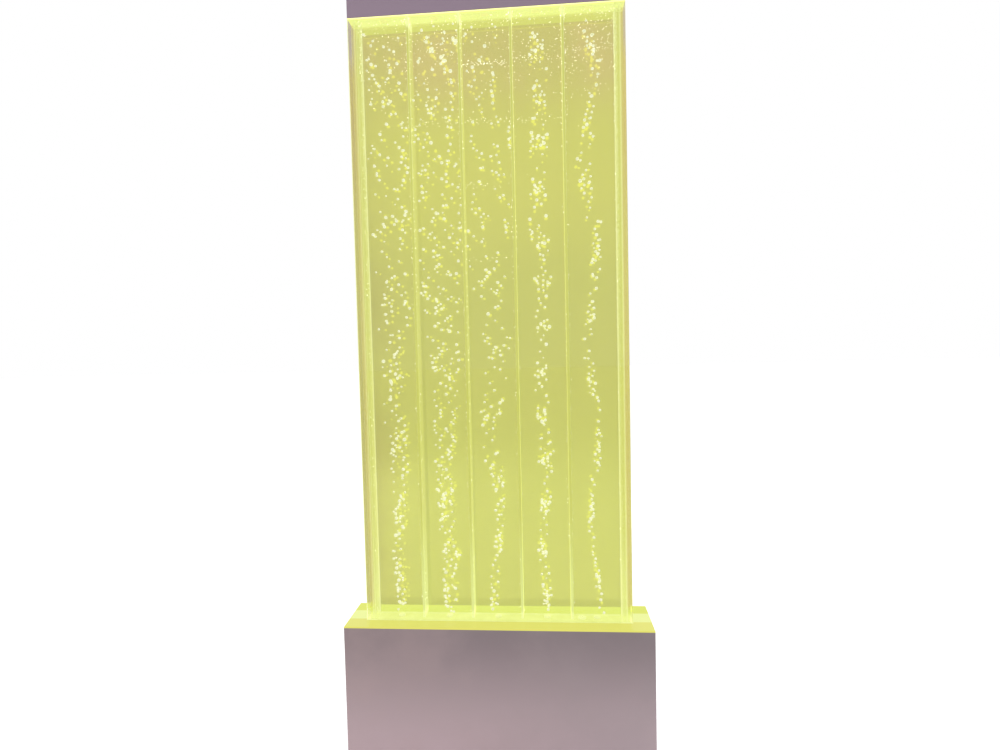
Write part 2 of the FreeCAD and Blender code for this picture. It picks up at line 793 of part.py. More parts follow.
# Light: an aluminium channel under the tank floor with two rows of chips, fed by a driver in the cabinet.
def light():
    body = new_body("led_bar")
    half, leg = "led_bar_width / 2", "led_bar_width / 2 - led_bar_wall"
    page = new_sketch(body, "YZ", "-led_half")
    outline(page, [(f"-{half}", "web_top"), (f"-({leg})", "web_top"), (f"-({leg})", "led_top - led_bar_wall"),
                   (leg, "led_top - led_bar_wall"), (leg, "web_top"), (half, "web_top"), (half, "led_top"),
                   (f"-{half}", "led_top")])
    pad(body, page, "2 * led_half")
    drain = new_sketch(body, "XY", "led_top")
    circle(drain, "drain_position", "0", "drain_shank_radius + hole_margin / 2")
    pocket(body, drain, "led_bar_wall")
    hole = circle(new_sketch(body, "XY", "led_top"), "first_channel", "0", "nut_flats / 2 + hole_margin")
    repeat(body, [pocket(body, hole, "led_bar_wall")], "X", "channel_pitch", "channels")
    body = new_body("led_chips")
    left = "-chip_pitch * (chip_columns - 1) / 2 - chip_side / 2"
    front = "-chip_rows_apart / 2 - chip_side / 2"
    page = new_sketch(body, "XY", "led_top")
    rectangle(page, left, f"{left} + chip_side", front, f"{front} + chip_side")
    chip = pad(body, page, "chip_height")
    repeat(body, [chip], "X", "chip_pitch", "chip_columns", ("Y", "chip_rows_apart", "2"))
    body = new_body("led_driver")
    front, rear = "front_inner + driver_margin", "front_inner + driver_margin + driver_width"
    page = new_sketch(body, "XY", "floor_top")
    rectangle(page, "driver_start", "driver_start + driver_length", front, rear)
    pad(body, page, "driver_base")
    page = new_sketch(body, "XY", "floor_top + driver_base")
    rectangle(page, "driver_start + driver_ear", "driver_start + driver_length - driver_ear", front, rear)
    pad(body, page, "driver_height - driver_base")
    page = new_sketch(body, "XY", "floor_top + driver_height")
    start = "driver_start + 2 * driver_ear"
    rectangle(page, start, f"{start} + driver_slot_width", front, rear)
    repeat(body, [pocket(body, page, "driver_slot_depth")], "X", "driver_slot_pitch", "driver_slots")


# Air nozzles in the tank floor, with a seal ring under each head and a nut below the floor.
def nozzles():
    bore = "nozzle_bore_radius"
    body, turn = turned("air_nozzles", [
        (bore, "ring_thickness + nozzle_head"), ("nozzle_head_radius / 2", "ring_thickness + nozzle_head"),
        ("nozzle_head_radius", "ring_thickness + nozzle_head / 2"), ("nozzle_head_radius", "ring_thickness"),
        ("nozzle_shank_radius", "ring_thickness"), ("nozzle_shank_radius", "-nozzle_shank"),
        ("tube_bore_radius - fit", "-nozzle_shank"),
        ("tube_bore_radius - fit", "-nozzle_shank - nozzle_tail"), (bore, "-nozzle_shank - nozzle_tail")])
    repeat(body, [turn], "X", "channel_pitch", "channels")
    place(body, "first_channel", "0", "base_height")
    body, turn = turned("nozzle_seals", [
        ("nozzle_shank_radius + fit", "0"), ("nozzle_head_radius", "0"),
        ("nozzle_head_radius", "ring_thickness"), ("nozzle_shank_radius + fit", "ring_thickness")])
    repeat(body, [turn], "X", "channel_pitch", "channels")
    place(body, "first_channel", "0", "base_height")
    body = new_body("nozzle_nuts")
    page = new_sketch(body, "XY")
    across, point, edge = "nut_flats / 2", "nut_flats / 2 / cos(30)", "nut_flats / 2 * tan(30)"
    outline(page, [("0", f"-{point}"), (across, f"-{edge}"), (across, edge), ("0", point),
                   (f"-{across}", edge), (f"-{across}", f"-{edge}")])
    circle(page, "0", "0", "nozzle_shank_radius + fit")
    repeat(body, [pad(body, page, "nut_height")], "X", "channel_pitch", "channels")
    place(body, "first_channel", "0", "floor_under - nut_height")


# Air pump: a fluted case with a domed cover on rubber feet, its outlet towards the manifold.
def pump():
    half, side = "pump_length / 2", "pump_width / 2"
    upright = lambda edge: runs_along(edge, "z")
    body = new_body("pump_case")
    pad(body, rectangle(new_sketch(body, "XY"), f"-{half}", half, f"-{side}", side), "pump_case_height")
    soften("Fillet", body, "pump_corner", upright)
    page = new_sketch(body, "XY", "pump_case_height")
    start = "-pump_flute_pitch * (pump_flutes - 1) / 2 - pump_flute_width / 2"
    rectangle(page, start, f"{start} + pump_flute_width",
              f"-{side} - pump_flute_depth", f"-{side} + pump_flute_depth")
    rectangle(page, start, f"{start} + pump_flute_width",
              f"{side} - pump_flute_depth", f"{side} + pump_flute_depth")
    repeat(body, [pocket(body, page, "pump_case_height")], "X", "pump_flute_pitch", "pump_flutes")
    collar = circle(new_sketch(body, "YZ", half), "0", "outlet_rise", "outlet_radius + outlet_collar")
    pad(body, collar, "outlet_length / 4")
    pad(body, circle(new_sketch(body, "YZ", half), "0", "outlet_rise", "outlet_radius"), "outlet_length")
    place(body, "pump_centre", "0", "pump_base")
    body = new_body("pump_cover")
    page = new_sketch(body, "XY", "pump_case_height")
    pad(body, rectangle(page, f"-{half}", half, f"-{side}", side), "pump_cover_height")
    soften("Fillet", body, "pump_corner", upright)
    crown = number("pump_case_height + pump_cover_height")
    soften("Fillet", body, "pump_crown", lambda edge: lies_at(edge, "z", crown))
    place(body, "pump_centre", "0", "pump_base")
    body, turn = turned("pump_feet", [
        ("0", "-pump_foot_height"), ("pump_foot_radius", "-pump_foot_height"),
        ("pump_foot_radius - pump_foot_taper", "0"), ("0", "0")])
    repeat(body, [turn], "X", "pump_length - 2 * pump_foot_end", "2",
           ("Y", "pump_width - 2 * pump_foot_side", "2"))
    place(body, f"pump_centre - {half} + pump_foot_end", f"pump_foot_side - {side}", "pump_base")


# Manifold: a bar with five outlets above, one inlet below and a needle valve facing the door at each outlet.
def manifold():
    side = "manifold_side / 2"
    body = new_body("air_manifold")
    page = new_sketch(body, "XZ", side)
    rectangle(page, "-manifold_length / 2", "manifold_length / 2", f"-{side}", side)
    pad(body, page, "manifold_side")
    page = new_sketch(body, "XY", f"-{side} - inlet_spigot")
    pad(body, circle(page, "inlet_position", "0", "outlet_radius"), "inlet_spigot")
    page = new_sketch(body, "XY", side)
    spigot = pad(body, circle(page, "first_valve", "0", "spigot_radius"), "spigot_length")
    page = new_sketch(body, "XZ", f"{side} - needle_length - needle_gap")
    circle(page, "first_valve", "0", "needle_radius + fit")
    needle_bore = pocket(body, page, "needle_length + needle_gap")
    repeat(body, [spigot, needle_bore], "X", "valve_pitch", "channels")
    place(body, "0", "0", "manifold_centre")
    for i in range(int(sheet.channels)):
        air_valve(f"air_valve_{i + 1}", f"first_valve + valve_pitch * {i}")
    body = new_body("manifold_bracket")
    back, front = f"-{side}", f"-{side} - bracket_wall"
    page = new_sketch(body, "YZ", "-bracket_width / 2")
    outline(page, [(back, "floor_top"), (back, "manifold_top"), (front, "manifold_top"),
                   (front, "floor_top + bracket_wall"),
                   (f"{back} - bracket_foot", "floor_top + bracket_wall"),
                   (f"{back} - bracket_foot", "floor_top")])
    pad(body, page, "bracket_width / 2 + driver_start - driver_margin")
    bend, low = number(front), number("floor_top + 2 * bracket_wall")
    soften("Fillet", body, "bracket_wall",
           lambda edge: runs_along(edge, "x") and lies_at(edge, "y", bend) and edge.CenterOfMass.z < low)


# Needle valve: a stem in the manifold's bore with a fluted knob.
def air_valve(label, x):
    body = new_body(label)
    page = new_sketch(body, "XY")
    outline(page, [("0", "-needle_length"), ("needle_radius - needle_tip", "-needle_length"),
                   ("needle_radius", "needle_tip - needle_length"), ("needle_radius", "clearance"),
                   ("knob_radius", "clearance"), ("knob_radius", "knob_length - knob_chamfer"),
                   ("knob_radius - knob_chamfer", "knob_length"), ("0", "knob_length")])
    revolve(body, page)
    page = circle(new_sketch(body, "XZ", "clearance + flute_start"), "knob_radius", "0", "flute_radius")
    flute = pocket(body, page, "knob_length")
    doc.recompute()
    ring = body.newObject("PartDesign::PolarPattern", label + "_ring")
    ring.Originals = [flute]
    ring.Axis = (origin_of(body, "Y_Axis"), [""])
    ring.Angle = 360
    bind(ring, {"Occurrences": "knob_flutes"})
    body.Tip = ring
    place(body, x, "manifold_side / 2", "manifold_centre")


# Air lines: a check valve on each outlet, a tube from it to its nozzle, and the hose from the pump.
def air_lines():
    waist = "check_socket + check_lower_cone"
    socket, neck = "spigot_radius + check_wall", "spigot_radius + check_wall / 2"
    tail = "tube_bore_radius - fit"
    body, turn = turned("check_valves", [
        ("0", "spigot_length + clearance"), ("spigot_radius + fit", "spigot_length + clearance"),
        ("spigot_radius + fit", "clearance"), (socket, "clearance"), (socket, "check_socket"),
        ("check_body_radius", waist), ("check_body_radius", f"{waist} + check_body"),
        (neck, f"{waist} + check_body + check_upper_cone"), (neck, "check_length - check_tail"),
        (tail, "check_length - check_tail"), (tail, "check_length"), ("0", "check_length")])
    repeat(body, [turn], "X", "valve_pitch", "channels")
    place(body, "first_valve", "0", "manifold_top")
    count = int(sheet.channels)
    tubes = []
    for i in range(count):
        outlet = derived.first_valve + sheet.valve_pitch * i
        nozzle = derived.first_channel + derived.channel_pitch * i
        drop = sheet.high_run_drop if abs(2 * i - count + 1) <= 2 else sheet.low_run_drop
        run = derived.web_bottom - drop
        points = [Vector(outlet, 0, derived.tube_start), Vector(outlet, 0, run),
                  Vector(nozzle, 0, run), Vector(nozzle, 0, derived.tube_end)]
        if abs(outlet - nozzle) < 1:
            points = [points[0], points[-1]]
        tubes.append(hose(route(points, sheet.tube_bend), sheet.tube_radius, sheet.tube_bore_radius))
    free_form("air_tubes", tubes)
    start = derived.pump_centre + sheet.pump_length / 2 + sheet.outlet_length / 4 + sheet.clearance
    end = derived.manifold_centre - sheet.manifold_side / 2 - sheet.clearance
    points = [Vector(start, 0, derived.outlet_level), Vector(sheet.inlet_position, 0, derived.outlet_level),
              Vector(sheet.inlet_position, 0, end)]
    path = route(points, sheet.hose_bend)
    free_form("pump_hose", [hose(path, sheet.hose_radius, sheet.outlet_radius + sheet.fit)])


# Drain: a fitting in the tank floor, a hose down the cabinet, and a lever valve whose spout faces the door.
def drain():
    bore, tail = "drain_bore_radius", "drain_tail_radius"
    body, _ = turned("drain_fitting", [
        (bore, "drain_flange"), ("drain_flange_radius - drain_chamfer", "drain_flange"),
        ("drain_flange_radius", "drain_flange / 2"), ("drain_flange_radius", "0"),
        ("drain_shank_radius", "0"), ("drain_shank_radius", "-tank_floor_thickness - drain_shank_tail"),
        (tail, "-tank_floor_thickness - drain_shank_tail"), (tail, "drain_tail_gap - tank_foot"),
        (bore, "drain_tail_gap - tank_foot")])
    place(body, "drain_position", "0", "base_height")
    x, front, level = derived.drain_position, -sheet.drain_front, sheet.drain_level
    below = derived.floor_under - sheet.drain_shank_tail - sheet.clearance
    bend_level = derived.web_bottom - sheet.drain_drop
    points = [Vector(x, 0, below), Vector(x, 0, bend_level), Vector(x, front, bend_level - sheet.drain_slant),
              Vector(x, front, level), Vector(x, -sheet.drain_hose_end, level)]
    path = route(points, sheet.drain_hose_bend)
    free_form("drain_hose", [hose(path, sheet.drain_hose_radius, sheet.drain_tail_radius + sheet.fit)])
    drain_valve()
    body = new_body("drain_lever")
    hub = circle(new_sketch(body, "XY", "clearance"), "0", "0", "stem_radius + hub_wall")
    pad(body, hub, "hub_height")
    page = new_sketch(body, "XY", "hub_height + clearance - lever_thickness")
    rectangle(page, "0", "lever_length", "-lever_width / 2", "lever_width / 2")
    pad(body, page, "lever_thickness")
    stem = circle(new_sketch(body, "XY", "stem_overlap - stem_length"), "0", "0", "stem_radius")
    pad(body, stem, "stem_length")
    tip = number("lever_length")
    soften("Fillet", body, "lever_tip_radius",
           lambda edge: runs_along(edge, "z") and lies_at(edge, "x", tip))
    place(body, "drain_position", "lever_centre", "drain_level + valve_body_radius + boss_rise")


# Drain valve: a turned body with a spigot for the hose and a spout, a boss for the lever, and a foot.
def drain_valve():
    body = new_body("drain_valve")
    tail, wide, bore = "drain_tail_radius", "valve_body_radius", "spout_radius - spout_wall"
    rear = "lever_centre + valve_body_radius + valve_back"
    page = outline(new_sketch(body, "XY"), [
        ("0", "-valve_tail"), (tail, "-valve_tail"), (tail, "-valve_front"),
        (f"{wide} - valve_chamfer", "-valve_front"), (wide, "valve_chamfer - valve_front"),
        (wide, f"{rear} - valve_chamfer"), (f"{wide} - valve_chamfer", rear), ("spout_radius", rear),
        ("spout_radius", f"{rear} + spout_length"), (bore, f"{rear} + spout_length"),
        (bore, f"{rear} + valve_chamfer"), ("0", f"{rear} + valve_chamfer")])
    revolve(body, page)
    page = new_sketch(body, "XY", "valve_body_radius / 2")
    circle(page, "0", "lever_centre", "stem_radius + boss_wall")
    pad(body, page, "valve_body_radius / 2 + boss_rise")
    page = new_sketch(body, "XY", "floor_top - drain_level")
    rectangle(page, "-valve_foot_width / 2", "valve_foot_width / 2",
              "lever_centre - valve_foot_depth / 2", "lever_centre + valve_foot_depth / 2")
    pad(body, page, "drain_level - floor_top - valve_body_radius / 2")
    page = new_sketch(body, "XY", "valve_body_radius + boss_rise")
    pocket(body, circle(page, "0", "lever_centre", "stem_radius + fit"), "stem_length")
    place(body, "drain_position", "0", "drain_level")


# Power inlet: a flanged housing with a three-blade socket below and a two-position rocker above.
def power():
    half, tall = "socket_width / 2", "socket_height / 2"
    body = new_body("power_inlet")
    page = new_sketch(body, "XZ", "socket_flange")
    rectangle(page, f"-{half} - socket_rim", f"{half} + socket_rim",
              f"-{tall} - socket_rim", f"{tall} + socket_rim")
    pad(body, page, "socket_flange")
    pad(body, rectangle(new_sketch(body, "XZ"), f"-{half}", half, f"-{tall}", tall), "socket_depth")
    page = new_sketch(body, "XZ", "-blade_length - blade_root")
    side = f"({half} - mouth_side)"
    corner = f"({half} - mouth_side - mouth_corner)"
    outline(page, [(f"-{side}", "-mouth_top"), (f"-{side}", "-mouth_shoulder"),
                   (f"-{corner}", "-mouth_bottom"), (corner, "-mouth_bottom"),
                   (side, "-mouth_shoulder"), (side, "-mouth_top")])
    pocket(body, page, "blade_length + blade_root + socket_flange")
    page = new_sketch(body, "XZ", "-socket_depth / 3")
    rectangle(page, "-rocker_width / 2 - clearance", "rocker_width / 2 + clearance",
              "rocker_rise - rocker_length / 2 - rocker_gap", "rocker_rise + rocker_length / 2 + rocker_gap")
    pocket(body, page, "socket_depth / 3 + socket_flange")
    page = new_sketch(body, "YZ", "rocker_width / 2 + trunnion_length + clearance")
    circle(page, "-rocker_pivot_depth", "rocker_rise", "trunnion_radius + fit")
    pocket(body, page, "rocker_width + 2 * (trunnion_length + clearance)")
    place(body, "socket_centre", "rear_outer", "socket_level")
    body = new_body("inlet_pins")
    page = new_sketch(body, "XZ", "-blade_root")
    blades = (("-blade_spacing", "-blade_level"), ("0", "-earth_level"), ("blade_spacing", "-blade_level"))
    for x, z in blades:
        rectangle(page, f"{x} - blade_thickness / 2", f"{x} + blade_thickness / 2",
                  f"{z} - blade_height / 2", f"{z} + blade_height / 2")
    pad(body, page, "blade_length")
    place(body, "socket_centre", "rear_outer", "socket_level")
    body = new_body("power_rocker")
    reach = "rocker_length / 2"
    crest = "rocker_pivot_depth + socket_flange - rocker_sink"
    end = f"{crest} + {reach} * tan(rocker_tilt)"
    page = new_sketch(body, "YZ", "-rocker_width / 2")
    outline(page, [(crest, "0"), (end, reach), ("-rocker_edge", f"{reach} - rocker_relief"),
                   ("-rocker_keel", "0"), ("-rocker_edge", f"rocker_relief - {reach}"), (end, f"-{reach}")])
    pad(body, page, "rocker_width")
    page = new_sketch(body, "YZ", "-rocker_width / 2 - trunnion_length")
    pad(body, circle(page, "0", "0", "trunnion_radius"), "rocker_width + 2 * trunnion_length")
    body.Placement = Placement(Vector(), Rotation(Vector(1, 0, 0), sheet.rocker_tilt))
    place(body, "socket_centre", "rear_outer - rocker_pivot_depth", "socket_level + rocker_rise")
    wiring()


# Leads: from the inlet to the driver, from the driver to the pump, and from the driver up to the light.
def wiring():
    level = derived.floor_top + sheet.lead_rise
    x, y = derived.socket_centre, derived.front_inner + sheet.inlet_lead_front
    z = sheet.socket_level - sheet.socket_height / 4
    driver_end = derived.driver_start + sheet.driver_length - sheet.driver_ear
    inlet = [Vector(x, derived.rear_outer - sheet.socket_depth, z), Vector(x, y, z),
             Vector(x, y, level), Vector(driver_end, y, level)]
    y = derived.front_inner + sheet.pump_lead_front
    pump_end = derived.pump_centre + sheet.pump_length / 2
    pump_lead = [Vector(derived.driver_start + sheet.driver_ear, y, level), Vector(pump_end, y, level)]
    x, y = derived.lamp_lead, derived.front_inner + sheet.driver_margin + sheet.driver_width / 2
    turn = derived.web_bottom - sheet.lamp_lead_drop
    lamp_lead = [Vector(x, y, derived.floor_top + sheet.driver_height), Vector(x, y, turn),
                 Vector(x, 0, turn), Vector(x, 0, derived.led_top - sheet.led_bar_wall)]
    paths = [route(points, sheet.lead_bend) for points in (inlet, pump_lead, lamp_lead)]
    free_form("wiring", [sweep(path, sheet.lead_radius) for path in paths])


# Cap: four walls flush with the panes, the rear one vented, a lid, and a white liner of strips with two pegs.
def cap():
    body = new_body("cap_shell")
    page = new_sketch(body, "XY", "tank_top")
    for sign in ("-", ""):
        rectangle(page, "-tank_half", "tank_half", f"{sign}cap_face", f"{sign}tank_face")
        rectangle(page, f"{sign}cap_inner", f"{sign}tank_half", "fit - cap_face", "cap_face - fit")
    pad(body, page, "cap_height - cap_wall")
    start = "-cap_slot_pitch * (cap_slots - 1) / 2 - cap_slot_length / 2"
    level = "tank_top + cap_height / 2"
    page = new_sketch(body, "XZ", "cap_face")
    rectangle(page, start, f"{start} + cap_slot_length",
              f"{level} - cap_slot_height / 2", f"{level} + cap_slot_height / 2")
    repeat(body, [pocket(body, page, "cap_wall")], "X", "cap_slot_pitch", "cap_slots")
    body = new_body("cap_lid")
    page = new_sketch(body, "XY", "overall_height - cap_wall")
    pad(body, rectangle(page, "-tank_half", "tank_half", "-tank_face", "tank_face"), "cap_wall")
    top = number("overall_height")
    soften("Fillet", body, "deck_edge_radius", lambda edge: lies_at(edge, "z", top))
    body = new_body("cap_liner")
    page = new_sketch(body, "XY", "tank_top")
    depth = ("fit - liner_vent_half", "liner_vent_half - fit")
    for sign in ("-", ""):
        rectangle(page, "-cap_inner", "cap_inner", f"{sign}liner_vent_half", f"{sign}cap_face")
        peg_strip = f"{sign}(cap_inner - peg_strip)"
        rectangle(page, peg_strip, f"{sign}cap_inner", *depth)
        rectangle(page, f"{sign}(liner_vent_half - first_channel)", f"{peg_strip} - {sign}fit", *depth)
    for i in range(1, int(number("channels"))):
        middle, reach = f"first_channel + channel_pitch * {i - 0.5}", "(channel_pitch / 2 - liner_vent_half)"
        rectangle(page, f"{middle} - {reach}", f"{middle} + {reach}", *depth)
    pad(body, page, "liner_thickness")
    page = new_sketch(body, "XY", "tank_top - peg_length")
    for sign in ("-", ""):
        circle(page, f"{sign}(tank_half - end_bar / 2)", "0", "peg_radius")
    pad(body, page, "peg_length")


cabinet()
door()
feet()
tank()
cradle()
light()
nozzles()
pump()
manifold()
air_lines()
drain()
power()
cap()
doc.recompute()

os.makedirs("parts", exist_ok=True)
for thing in doc.Objects:
    if "Invalid" in thing.State or "Error" in thing.State:
        raise RuntimeError(f"{thing.Label} did not rebuild: {thing.State}")
for piece in pieces:
    if piece.Shape.isNull() or not piece.Shape.isValid() or not piece.Shape.Solids:
        raise RuntimeError(f"{piece.Label} has no valid solid")
    piece.Shape.exportStep(f"parts/{piece.Label}.step")
print(f"{len(pieces)} pieces written")
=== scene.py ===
import math
import random

import bmesh
import bpy
from mathutils import Matrix, Vector, noise


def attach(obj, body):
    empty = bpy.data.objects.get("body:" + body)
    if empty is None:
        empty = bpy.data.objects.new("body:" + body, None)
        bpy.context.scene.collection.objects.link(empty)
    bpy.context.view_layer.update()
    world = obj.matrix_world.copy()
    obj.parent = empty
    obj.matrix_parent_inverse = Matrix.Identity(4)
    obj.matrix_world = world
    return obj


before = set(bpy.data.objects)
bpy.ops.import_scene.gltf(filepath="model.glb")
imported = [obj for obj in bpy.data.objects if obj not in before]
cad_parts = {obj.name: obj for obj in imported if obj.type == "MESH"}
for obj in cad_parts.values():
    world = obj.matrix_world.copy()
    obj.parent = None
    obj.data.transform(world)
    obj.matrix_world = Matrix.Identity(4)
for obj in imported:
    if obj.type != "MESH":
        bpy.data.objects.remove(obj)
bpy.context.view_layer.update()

# Levelling feet and their inserts: turned steel with a bright zinc plate, a disc below and a threaded stud
# above. The stud turns in a flanged insert that is driven into the floor board.
ZINC_PALE = (0.62, 0.63, 0.65)
ZINC_DULL = (0.40, 0.41, 0.43)
THREAD_PITCH = 0.00125
THREAD_FROM = 0.0148


def plug(socket, value):
    """Sets an input to a number or a colour, or links it to another node's output."""
    if isinstance(value, bpy.types.NodeSocket):
        socket.id_data.links.new(value, socket)
    else:
        socket.default_value = (*value, 1) if socket.type == "RGBA" else value


def add(tree, kind, inputs=None, **settings):
    """A shader node with its settings and inputs."""
    made = tree.nodes.new("ShaderNode" + kind)
    for name, value in settings.items():
        setattr(made, name, value)
    for name, value in (inputs or {}).items():
        plug(made.inputs[name], value)
    return made


def mix(share, first, second):
    """A colour between two, where the share goes from 0 to 1."""
    return add(share.id_data, "Mix", {0: share, 6: first, 7: second}, data_type="RGBA").outputs[2]


def span(value, low, high, start=0.0, end=1.0):
    """A value carried smoothly from one range to another, and held at its ends."""
    limits = {"Value": value, 1: low, 2: high, 3: start, 4: end}
    return add(value.id_data, "MapRange", limits, interpolation_type="SMOOTHSTEP").outputs[0]


def reckon(operation, *values, **settings):
    """The result of a Math node."""
    return add(values[0].id_data, "Math", dict(enumerate(values)), operation=operation, **settings).outputs[0]


def overlap(*masks):
    """The part that all of some masks share."""
    shared = masks[0]
    for mask in masks[1:]:
        shared = reckon("MULTIPLY", shared, mask)
    return shared


def spot_of(tree):
    """The point on the piece, in metres."""
    return add(tree, "TexCoord").outputs["Object"]


def place_of(tree):
    """The three coordinates of that point."""
    return add(tree, "SeparateXYZ", {0: spot_of(tree)}).outputs


def relief(height, strength, depth, normal=None):
    """The normal of a fine relief, laid over an eased normal where there is one."""
    inputs = {"Height": height, "Strength": strength, "Distance": depth}
    if normal is not None:
        inputs["Normal"] = normal
    return add(height.id_data, "Bump", inputs).outputs[0]


def toned(colour, strength):
    """A colour made lighter or darker."""
    return tuple(min(1, strength * part) for part in colour)


def new_group(name, inputs, outputs):
    """A shader node group; gives the group, what it is given and what it puts out."""
    group = bpy.data.node_groups.new(name, "ShaderNodeTree")
    for way, sockets in (("INPUT", inputs), ("OUTPUT", outputs)):
        for label, kind in sockets.items():
            group.interface.new_socket(label, in_out=way, socket_type="NodeSocket" + kind)
    return group, group.nodes.new("NodeGroupInput").outputs, group.nodes.new("NodeGroupOutput").inputs


def new_finish(name):
    """A node material and its one Principled shader."""
    finish = bpy.data.materials.new(name)
    finish.use_nodes = True
    return finish, finish.node_tree, finish.node_tree.nodes["Principled BSDF"]


def feed(shader, **sockets):
    """Links or sets the shader's sockets, which are named with _ for a space."""
    for name, value in sockets.items():
        plug(shader.inputs[name.replace("_", " ")], value)


def dress(finish, *names):
    """Puts a finish on solids of the frame."""
    for name in names:
        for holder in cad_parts[name].material_slots:
            holder.material = finish


mottle, given, result = new_group("mottle", {"Scale": "Float", "Contrast": "Float"}, {"Mask": "Float"})
cloud = add(mottle, "TexNoise", {"Vector": spot_of(mottle), "Scale": given["Scale"], "Detail": 5,
                                 "Roughness": 0.6}).outputs["Fac"]
centred = reckon("SUBTRACT", cloud, 0.5)
spread = reckon("MULTIPLY_ADD", centred, given["Contrast"], 0.5, use_clamp=True)
mottle.links.new(spread, result["Mask"])


def use(tree, group, **inputs):
    """The outputs of a node group that is put to use in a tree."""
    return add(tree, "Group", inputs, node_tree=group).outputs


def blotch(tree, scale, contrast):
    """A cloudy mask with patches of one size."""
    return use(tree, mottle, Scale=scale, Contrast=contrast)["Mask"]


brushing, given, result = new_group("brushing", {"Grain": "Vector"}, {"Mask": "Float"})
drawn = add(brushing, "VectorMath", {0: spot_of(brushing), 1: given["Grain"]}, operation="MULTIPLY")
lines = add(brushing, "TexNoise", {"Vector": drawn.outputs[0], "Scale": 1, "Detail": 3, "Roughness": 0.55})
brushing.links.new(span(lines.outputs["Fac"], 0.3, 0.7), result["Mask"])

worn_edges, given, result = new_group("worn_edges", {"Width": "Float"}, {"Mask": "Float", "Normal": "Vector"})
bevel = add(worn_edges, "Bevel", {"Radius": given["Width"]}, samples=4).outputs[0]
flat = add(worn_edges, "NewGeometry").outputs["True Normal"]
facing = add(worn_edges, "VectorMath", {0: bevel, 1: flat}, operation="DOT_PRODUCT").outputs["Value"]
chipped = overlap(span(facing, 0.995, 0.80), blotch(worn_edges, 180, contrast=2.2))
worn_edges.links.new(chipped, result["Mask"])
worn_edges.links.new(bevel, result["Normal"])


def metal(name, pale, dull, grain, roughness):
    """Drawn, brushed or plated metal: two tones along the grain, dulled in patches, bright at its edges."""
    finish, tree, shader = new_finish(name)
    strokes = use(tree, brushing, Grain=grain)["Mask"]
    patch = blotch(tree, 45, contrast=1.8)
    rubbed, eased = use(tree, worn_edges, Width=0.0005)
    body = mix(overlap(strokes, patch), dull, pale)
    feed(shader, Base_Color=mix(rubbed, body, toned(pale, 1.25)), Metallic=1.0,
         Roughness=span(patch, 0.0, 1.0, roughness + 0.12, roughness - 0.08),
         Normal=relief(strokes, strength=0.08, depth=0.0004, normal=eased))
    return finish


zinc_plate = metal("zinc_plate", ZINC_PALE, ZINC_DULL, (300, 300, 60), 0.34)
tree = zinc_plate.node_tree
shader = tree.nodes["Principled BSDF"]
height = place_of(tree)["Z"]
ridge = reckon("SINE", reckon("MULTIPLY", height, 2 * math.pi / THREAD_PITCH))
thread = overlap(ridge, reckon("GREATER_THAN", height, THREAD_FROM))
brushed = shader.inputs["Normal"].links[0].from_socket
feed(shader, Normal=relief(thread, strength=0.6, depth=0.0004, normal=brushed))
dress(zinc_plate, "front_left_foot", "front_right_foot", "rear_left_foot", "rear_right_foot", "foot_inserts")

# Floor board: dark melamine-faced board with air slots under the pump. It carries the trestles, the pump and
# the light's driver, and it collects the dust that the pump draws in.
BOARD_DARK = (0.040, 0.040, 0.043)
BOARD_PALE = (0.075, 0.073, 0.072)
DUST = (0.36, 0.34, 0.31)


def facing_up(tree):
    """How far the surface faces up: 1 above, -1 below."""
    return add(tree, "SeparateXYZ", {0: add(tree, "NewGeometry").outputs["Normal"]}).outputs["Z"]


settled_dust, given, result = new_group("settled_dust", {"Amount": "Float"}, {"Mask": "Float"})
film = overlap(span(facing_up(settled_dust), 0.4, 0.95),
               blotch(settled_dust, 35, contrast=2.5), given["Amount"])
settled_dust.links.new(film, result["Mask"])

floor_melamine, tree, shader = new_finish("floor_melamine")
speckle = blotch(tree, 420, contrast=2.4)
dust = use(tree, settled_dust, Amount=0.35)["Mask"]
feed(shader, Base_Color=mix(dust, mix(speckle, BOARD_DARK, BOARD_PALE), DUST),
     Roughness=span(dust, 0.0, 0.3, 0.48, 0.8), Normal=relief(speckle, strength=0.15, depth=0.0003))
dress(floor_melamine, "floor_board")

# Cabinet: four boards with a satin mauve-grey laminate, mitred at the front corners, with a fine orange peel.
# The laminate carries painted light. It is painted lighter towards the floor as the lit floor's reflection,
# and painted warmer on the left and cooler on the right as a reflection of the room. Six screws hold the rear
# board.
# Painted light: the mauve is darker at the top, lighter near the floor, and warmer and cooler to the sides.
MAUVE_SHADED_HIGH = (0.238, 0.190, 0.203)
MAUVE_FLOOR_LIT = (0.600, 0.455, 0.490)
MAUVE_REFLECTED_WARM = (0.520, 0.375, 0.372)
MAUVE_REFLECTED_COOL = (0.380, 0.322, 0.340)
CABINET_LOW, CABINET_HIGH = 0.0, 0.370
CABINET_HALF = 0.40


